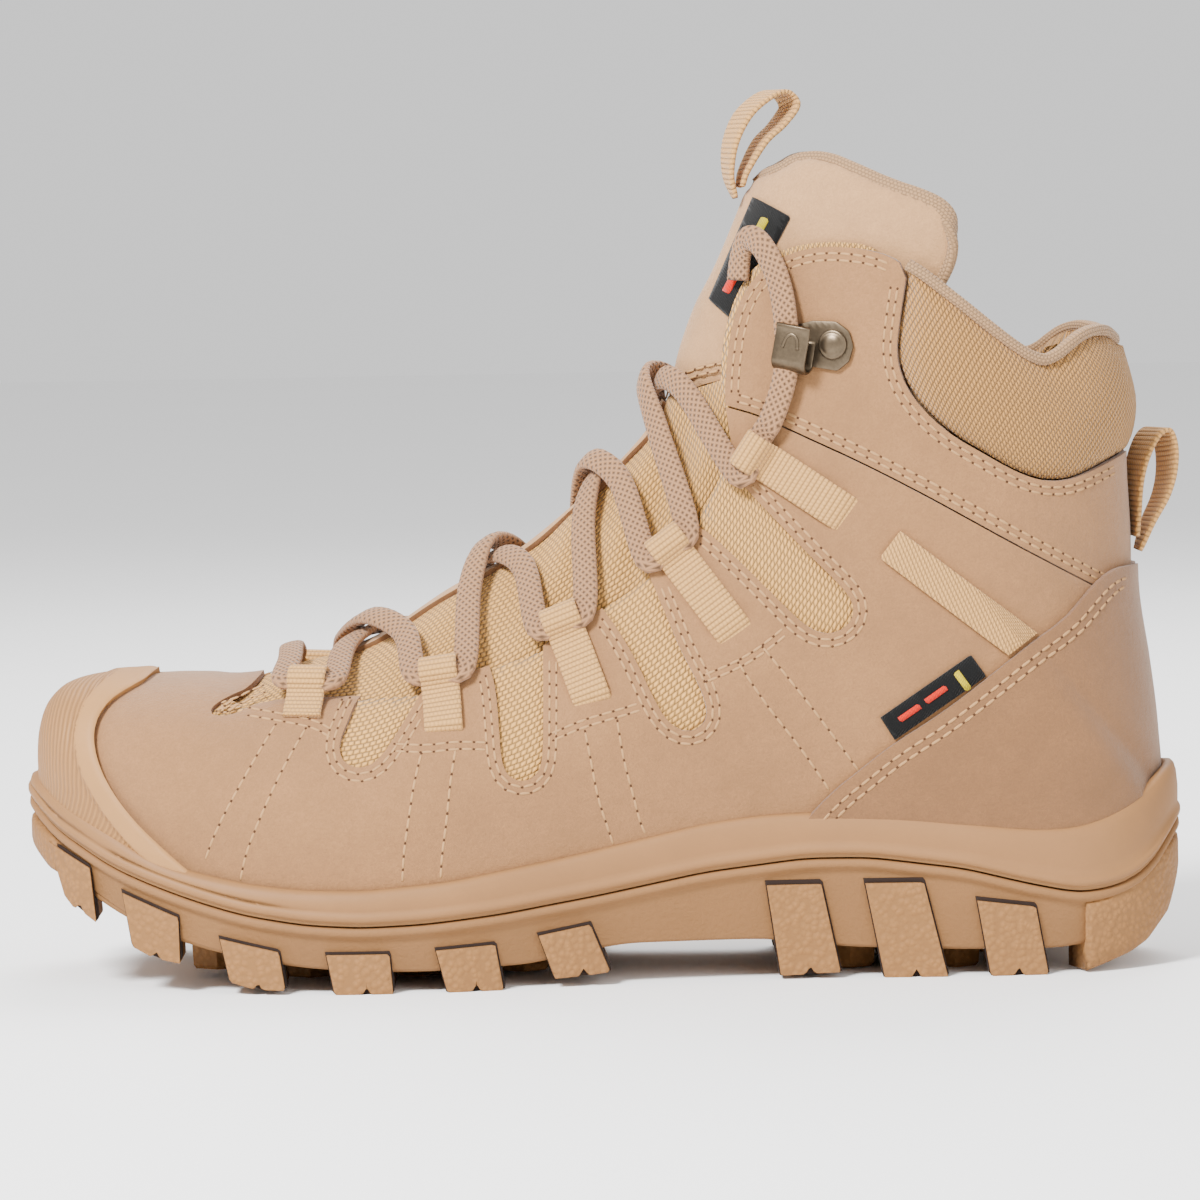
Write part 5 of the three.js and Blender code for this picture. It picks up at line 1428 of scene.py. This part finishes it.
TOE_TOP = [(-155, 43.2), (-147, 38.5), (-145, 36)]
TOE_FOOT = [(-155, 36.5), (-148.5, 30.5), (-145, 29.2)]
HEEL_TOP = [(125, 18), (134, 20), (150, 30), (155, 33.5)]
HEEL_FOOT = [(127.6, 0.6), (140, 4.6), (145, 7.2), (151, 13.4), (155, 24)]
STUDS = [(-104, 2.4), (-79, 0), (-50, 0), (-22, 1), (65, 0.4), (93, 0)]
STUD_OFFSET = 11
STUD_RADII = (8, 7.4, 6.6)


def lug_block(name, outline, side, depth, inset, key):
    """One block of the tread: its side face follows the sole's edge, its foot is flat to the ground."""
    polygon = wound(even(list(outline) + [outline[0]], 1.2)[:-1])
    low, high = polygon.min(0) + 1.5, polygon.max(0)
    grid = np.array([(x, z) for x in np.arange(low[0], high[0], LUG_GRID)
                     for z in np.arange(low[1], high[1], LUG_GRID)])
    flat, faces = meshed(polygon, grid[inside(polygon, grid)])
    x = np.clip(flat[:, 0], -154.3, 154.3)
    layers = []
    for cut, least in ((inset, 0.0), (inset + depth, 1.0)):
        y = soft_along(CENTRE, x) + side * np.maximum(plan_half(x, 0.0) - cut, least)
        layers.append(np.stack([flat[:, 0], y, flat[:, 1]], 1))
    count = len(flat)
    edges = dict.fromkeys((a, b) for f in faces for a, b in zip(f, f[1:] + f[:1]))
    every = [tuple(f) for f in faces] + [tuple(i + count for i in f[::-1]) for f in faces]
    every += [(b, a, a + count, b + count) for a, b in edges if (b, a) not in edges]
    thing = new_object(name, np.concatenate(layers), every)
    weld(thing)
    soften(thing, 0.7, 40)
    return finish(thing, key, "outsole_rubber", ROOT)


def tip_block(name, places, top, foot):
    """The block that wraps the toe or heel, over the outline's places between two values of x."""
    x = RING[places, 0]
    low, rise = along(foot, x), along(top, x) - along(foot, x)
    rows = [np.column_stack([RING[places] - RING_OUT[places] * inset, low + rise * share])
            for inset, share in TIP_SECTION]
    return finish(tube(name, np.stack(rows, 1)), "lug", "outsole_rubber", ROOT)


def toe_and_heel_blocks():
    count = len(RING)
    around_toe = np.roll(np.arange(count), count // 2)
    around_toe = around_toe[RING[around_toe, 0] <= -145.6]
    toe = tip_block("tread_toe", around_toe, TOE_TOP, TOE_FOOT)
    tip_block("tread_heel", np.nonzero(RING[:, 0] >= 126)[0], HEEL_TOP, HEEL_FOOT)
    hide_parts("outsole")


def groove_shade_outline(outline):
    """The outline for the painted shade of the groove around a block's upper part: its corners moved out and
    up a little.
    """
    middle = np.mean(np.array(outline), axis=0)
    grown = [middle + (np.array(p) - middle) * SEAT_GROWTH + np.array([0, SEAT_RISE]) for p in outline[:3]]
    grown += [middle + (np.array(p) - middle) * np.array([SEAT_GROWTH, 1]) for p in (outline[3], outline[6])]
    return grown


def tread():
    for index, outline in enumerate(LUGS):
        for side, word in SIDES:
            place = f"{word}_{index + 1}"
            lug_block(f"tread_{place}", outline, side, LUG_DEPTH, LUG_INSET, "lug")
            # painted shade: a dark piece behind each block stands for the shade in the groove around it
            lug_block(f"tread_groove_shade_{place}", groove_shade_outline(outline), side, SEAT_DEPTH, SEAT_INSET, "groove_shade")
    toe_and_heel_blocks()
    angles = np.arange(6) * math.pi / 3
    hexagon = np.stack([np.sin(angles), np.cos(angles)], 1)
    for index, (x, foot) in enumerate(STUDS):
        heights = (along(CARRIER, x) + 1, foot + 1, foot)
        for side, word in SIDES:
            middle = np.array([x, along(CENTRE, x) + side * STUD_OFFSET])
            rings = [np.column_stack([middle + hexagon * radius, np.full(6, z)])
                     for radius, z in zip(STUD_RADII, heights)]
            thing = tube(f"tread_stud_{word}_{index + 1}", rings, smooth=False)
            finish(thing, "lug", "outsole_rubber", ROOT)


# ---- stitching ------------------------------------------------------------------------------------
TAB_ROWS = [
    [(-86, 69.5), (-90.5, 62.5), (-95.5, 54), (-100, 46), (-103.5, 38.5), (-105.5, 32.5)],
    [(-78, 68.5), (-82, 62), (-85.5, 55.5), (-90, 46), (-94, 36.5), (-95.5, 29.5)],
    [(-47.5, 62), (-49.5, 54.5), (-51, 45), (-52.5, 36), (-53, 27)],
    [(-38.5, 63), (-40, 54.5), (-41, 45), (-42.5, 35.5), (-43, 28.5)],
    [(-4.5, 67), (-3, 59), (-1.5, 49.5), (1, 41.5), (2.5, 36.5)],
    [(4, 69.5), (5.5, 59), (8, 49.5), (9.5, 42.5), (11.5, 38)],
    [(36, 84), (43, 73), (51.5, 62), (56.5, 54.5), (60, 49)],
    [(42.5, 88), (52.5, 75.5), (60.5, 64.5), (67.5, 54.5)],
]
SLIT_ROWS = [
    [(-93, 73.5), (-83, 72), (-75, 70.5), (-70, 67.5)],
    [(-54.5, 64.5), (-45.5, 64), (-38.5, 65), (-30, 64.5)],
    [(-13.5, 66.5), (-5, 70), (3, 72), (11.5, 74.5)],
    [(27, 81), (35, 84), (42, 88), (50, 94.5)],
]


SEAM_ROWS = (1.7, 3.5)
TONGUE_SEAM = [(14, 153.2), (20, 154.6), (27, 157), (39, 158.6)]


def beside(line, distances, start, end):
    """Rows at distances beside a line, shortened at both ends by so many points."""
    return [shift(line, distance)[start:len(line) - end] for distance in distances]


def stitching():
    rows = [even(row, 1.5, 2) for row in TAB_ROWS]
    for row in SLIT_ROWS:
        rows += beside(even(row, 1.5, 2), (0, -1.8), 0, 0)
    for window in WINDOWS:
        line = even(window, 1.2, 2)
        rows += beside(line, (-1.7,), 2, 2) + beside(line, (-3.5,), 3, 3)
    rows += beside(even(FRONT_NOTCH, 1.0, 2), (-1.7, -3.4), 6, 9)
    stitches("upper_stitching", rows, -0.05, ROOT, "nubuck")
    inward = [-d for d in SEAM_ROWS]
    rows = beside(even(ANKLE_FOOT, 1.5, 1), SEAM_ROWS, 2, 3)
    rows += beside(even(ANKLE_BACK, 1.5, 1), inward, 2, 3)
    rows += beside(even(ANKLE_FRONT, 1.5, 1), inward, 2, 2)
    stitches("ankle_stitching", rows, -0.05, ROOT, "nubuck")
    rows = beside(even(FOXING_TOP, 1.5, 1), (-3.2, -5.4), 3, 5)
    stitches("foxing_stitching", rows, FOXING_LIFT - 0.05, ROOT, "nubuck")
    rows = beside(even(TONGUE_SEAM, 1.5, 1), (3.4, 5.2), 0, 0)
    stitches("tongue_stitching", rows, -4.0, FLAP, "nubuck")


# ---- pieces that stay as the frame holds them -----------------------------------------------------
KEPT = {"steel_toe_cap": "steel", "heel_counter": "board", "puncture_plate": "steel", "shank": "steel",
        "insole_board": "board", "footbed": "footbed", "vamp_lining": "lining", "heel_lining": "lining"}


def dress_kept_nodes():
    for node, key in KEPT.items():
        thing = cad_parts[node]
        thing.data.materials.clear()
        thing.data.materials.append(M[key])


# ---- stage ----------------------------------------------------------------------------------------
LENS = 180.0
SENSOR = 36.0
VIEW_AIM = (0.0, 0.0, 0.0985)
VIEW_WIDTH = 0.3224
VIEW_ELEVATION = 4.0
VIEW_ROLL = -1.0
FLOOR_CORNERS = [(-4000, -3000, 0), (4000, -3000, 0), (4000, 5000, 0), (-4000, 5000, 0)]


def light(name, place, aim, size, power):
    lamp = bpy.data.lights.new(name, "AREA")
    lamp.shape = "DISK"
    lamp.size = size
    lamp.energy = power
    thing = bpy.data.objects.new(name, lamp)
    bpy.context.scene.collection.objects.link(thing)
    thing.location = place
    thing.rotation_euler = (Vector(aim) - Vector(place)).to_track_quat("-Z", "Y").to_euler()


def floor_and_lights():
    floor = new_object("floor", FLOOR_CORNERS, [(0, 1, 2, 3)], smooth=False)
    paper = Nodes("paper", (0.93, 0.93, 0.93), 0.9, specular=0.1)
    paper.color(paper.mix(paper.noise(3), (0.92, 0.92, 0.92), (0.94, 0.94, 0.94)))
    floor.data.materials.append(paper.material)
    world = bpy.data.worlds.new("studio")
    bpy.context.scene.world = world
    world.use_nodes = True
    sky = world.node_tree.nodes["Background"]
    sky.inputs["Color"].default_value = (1, 1, 1, 1)
    sky.inputs["Strength"].default_value = 1.0
    light("key", (-0.8, -1.1, 1.3), (0, 0, 0.08), 0.5, 88)
    light("fill", (0.9, -1.2, 0.5), (0, 0, 0.08), 1.2, 12)
    light("rim", (0.2, 0.9, 1.1), (0, 0, 0.12), 1.0, 20)


def camera():
    lens = bpy.data.cameras.new("camera")
    lens.lens = LENS
    lens.sensor_width = SENSOR
    lens.clip_end = 50
    thing = bpy.data.objects.new("camera", lens)
    bpy.context.scene.collection.objects.link(thing)
    aim = Vector(VIEW_AIM)
    lift = math.radians(VIEW_ELEVATION)
    place = aim + Vector((0, -math.cos(lift), math.sin(lift))) * VIEW_WIDTH / SENSOR * LENS
    turn = (aim - place).to_track_quat("-Z", "Y").to_matrix().to_4x4()
    roll = Matrix.Rotation(math.radians(VIEW_ROLL), 4, "Z")
    thing.matrix_world = Matrix.Translation(place) @ turn @ roll
    bpy.context.scene.camera = thing


make_materials()
floor_and_lights()
camera()
lace_loops()
hooks()
lace()
vamp()
side_textiles()
ankle_panels()
ankle_linings()
collar()
foxing()
bumper()
rear_straps()
side_label()
tongue()
pulls()
sole()
tread()
stitching()
dress_kept_nodes()
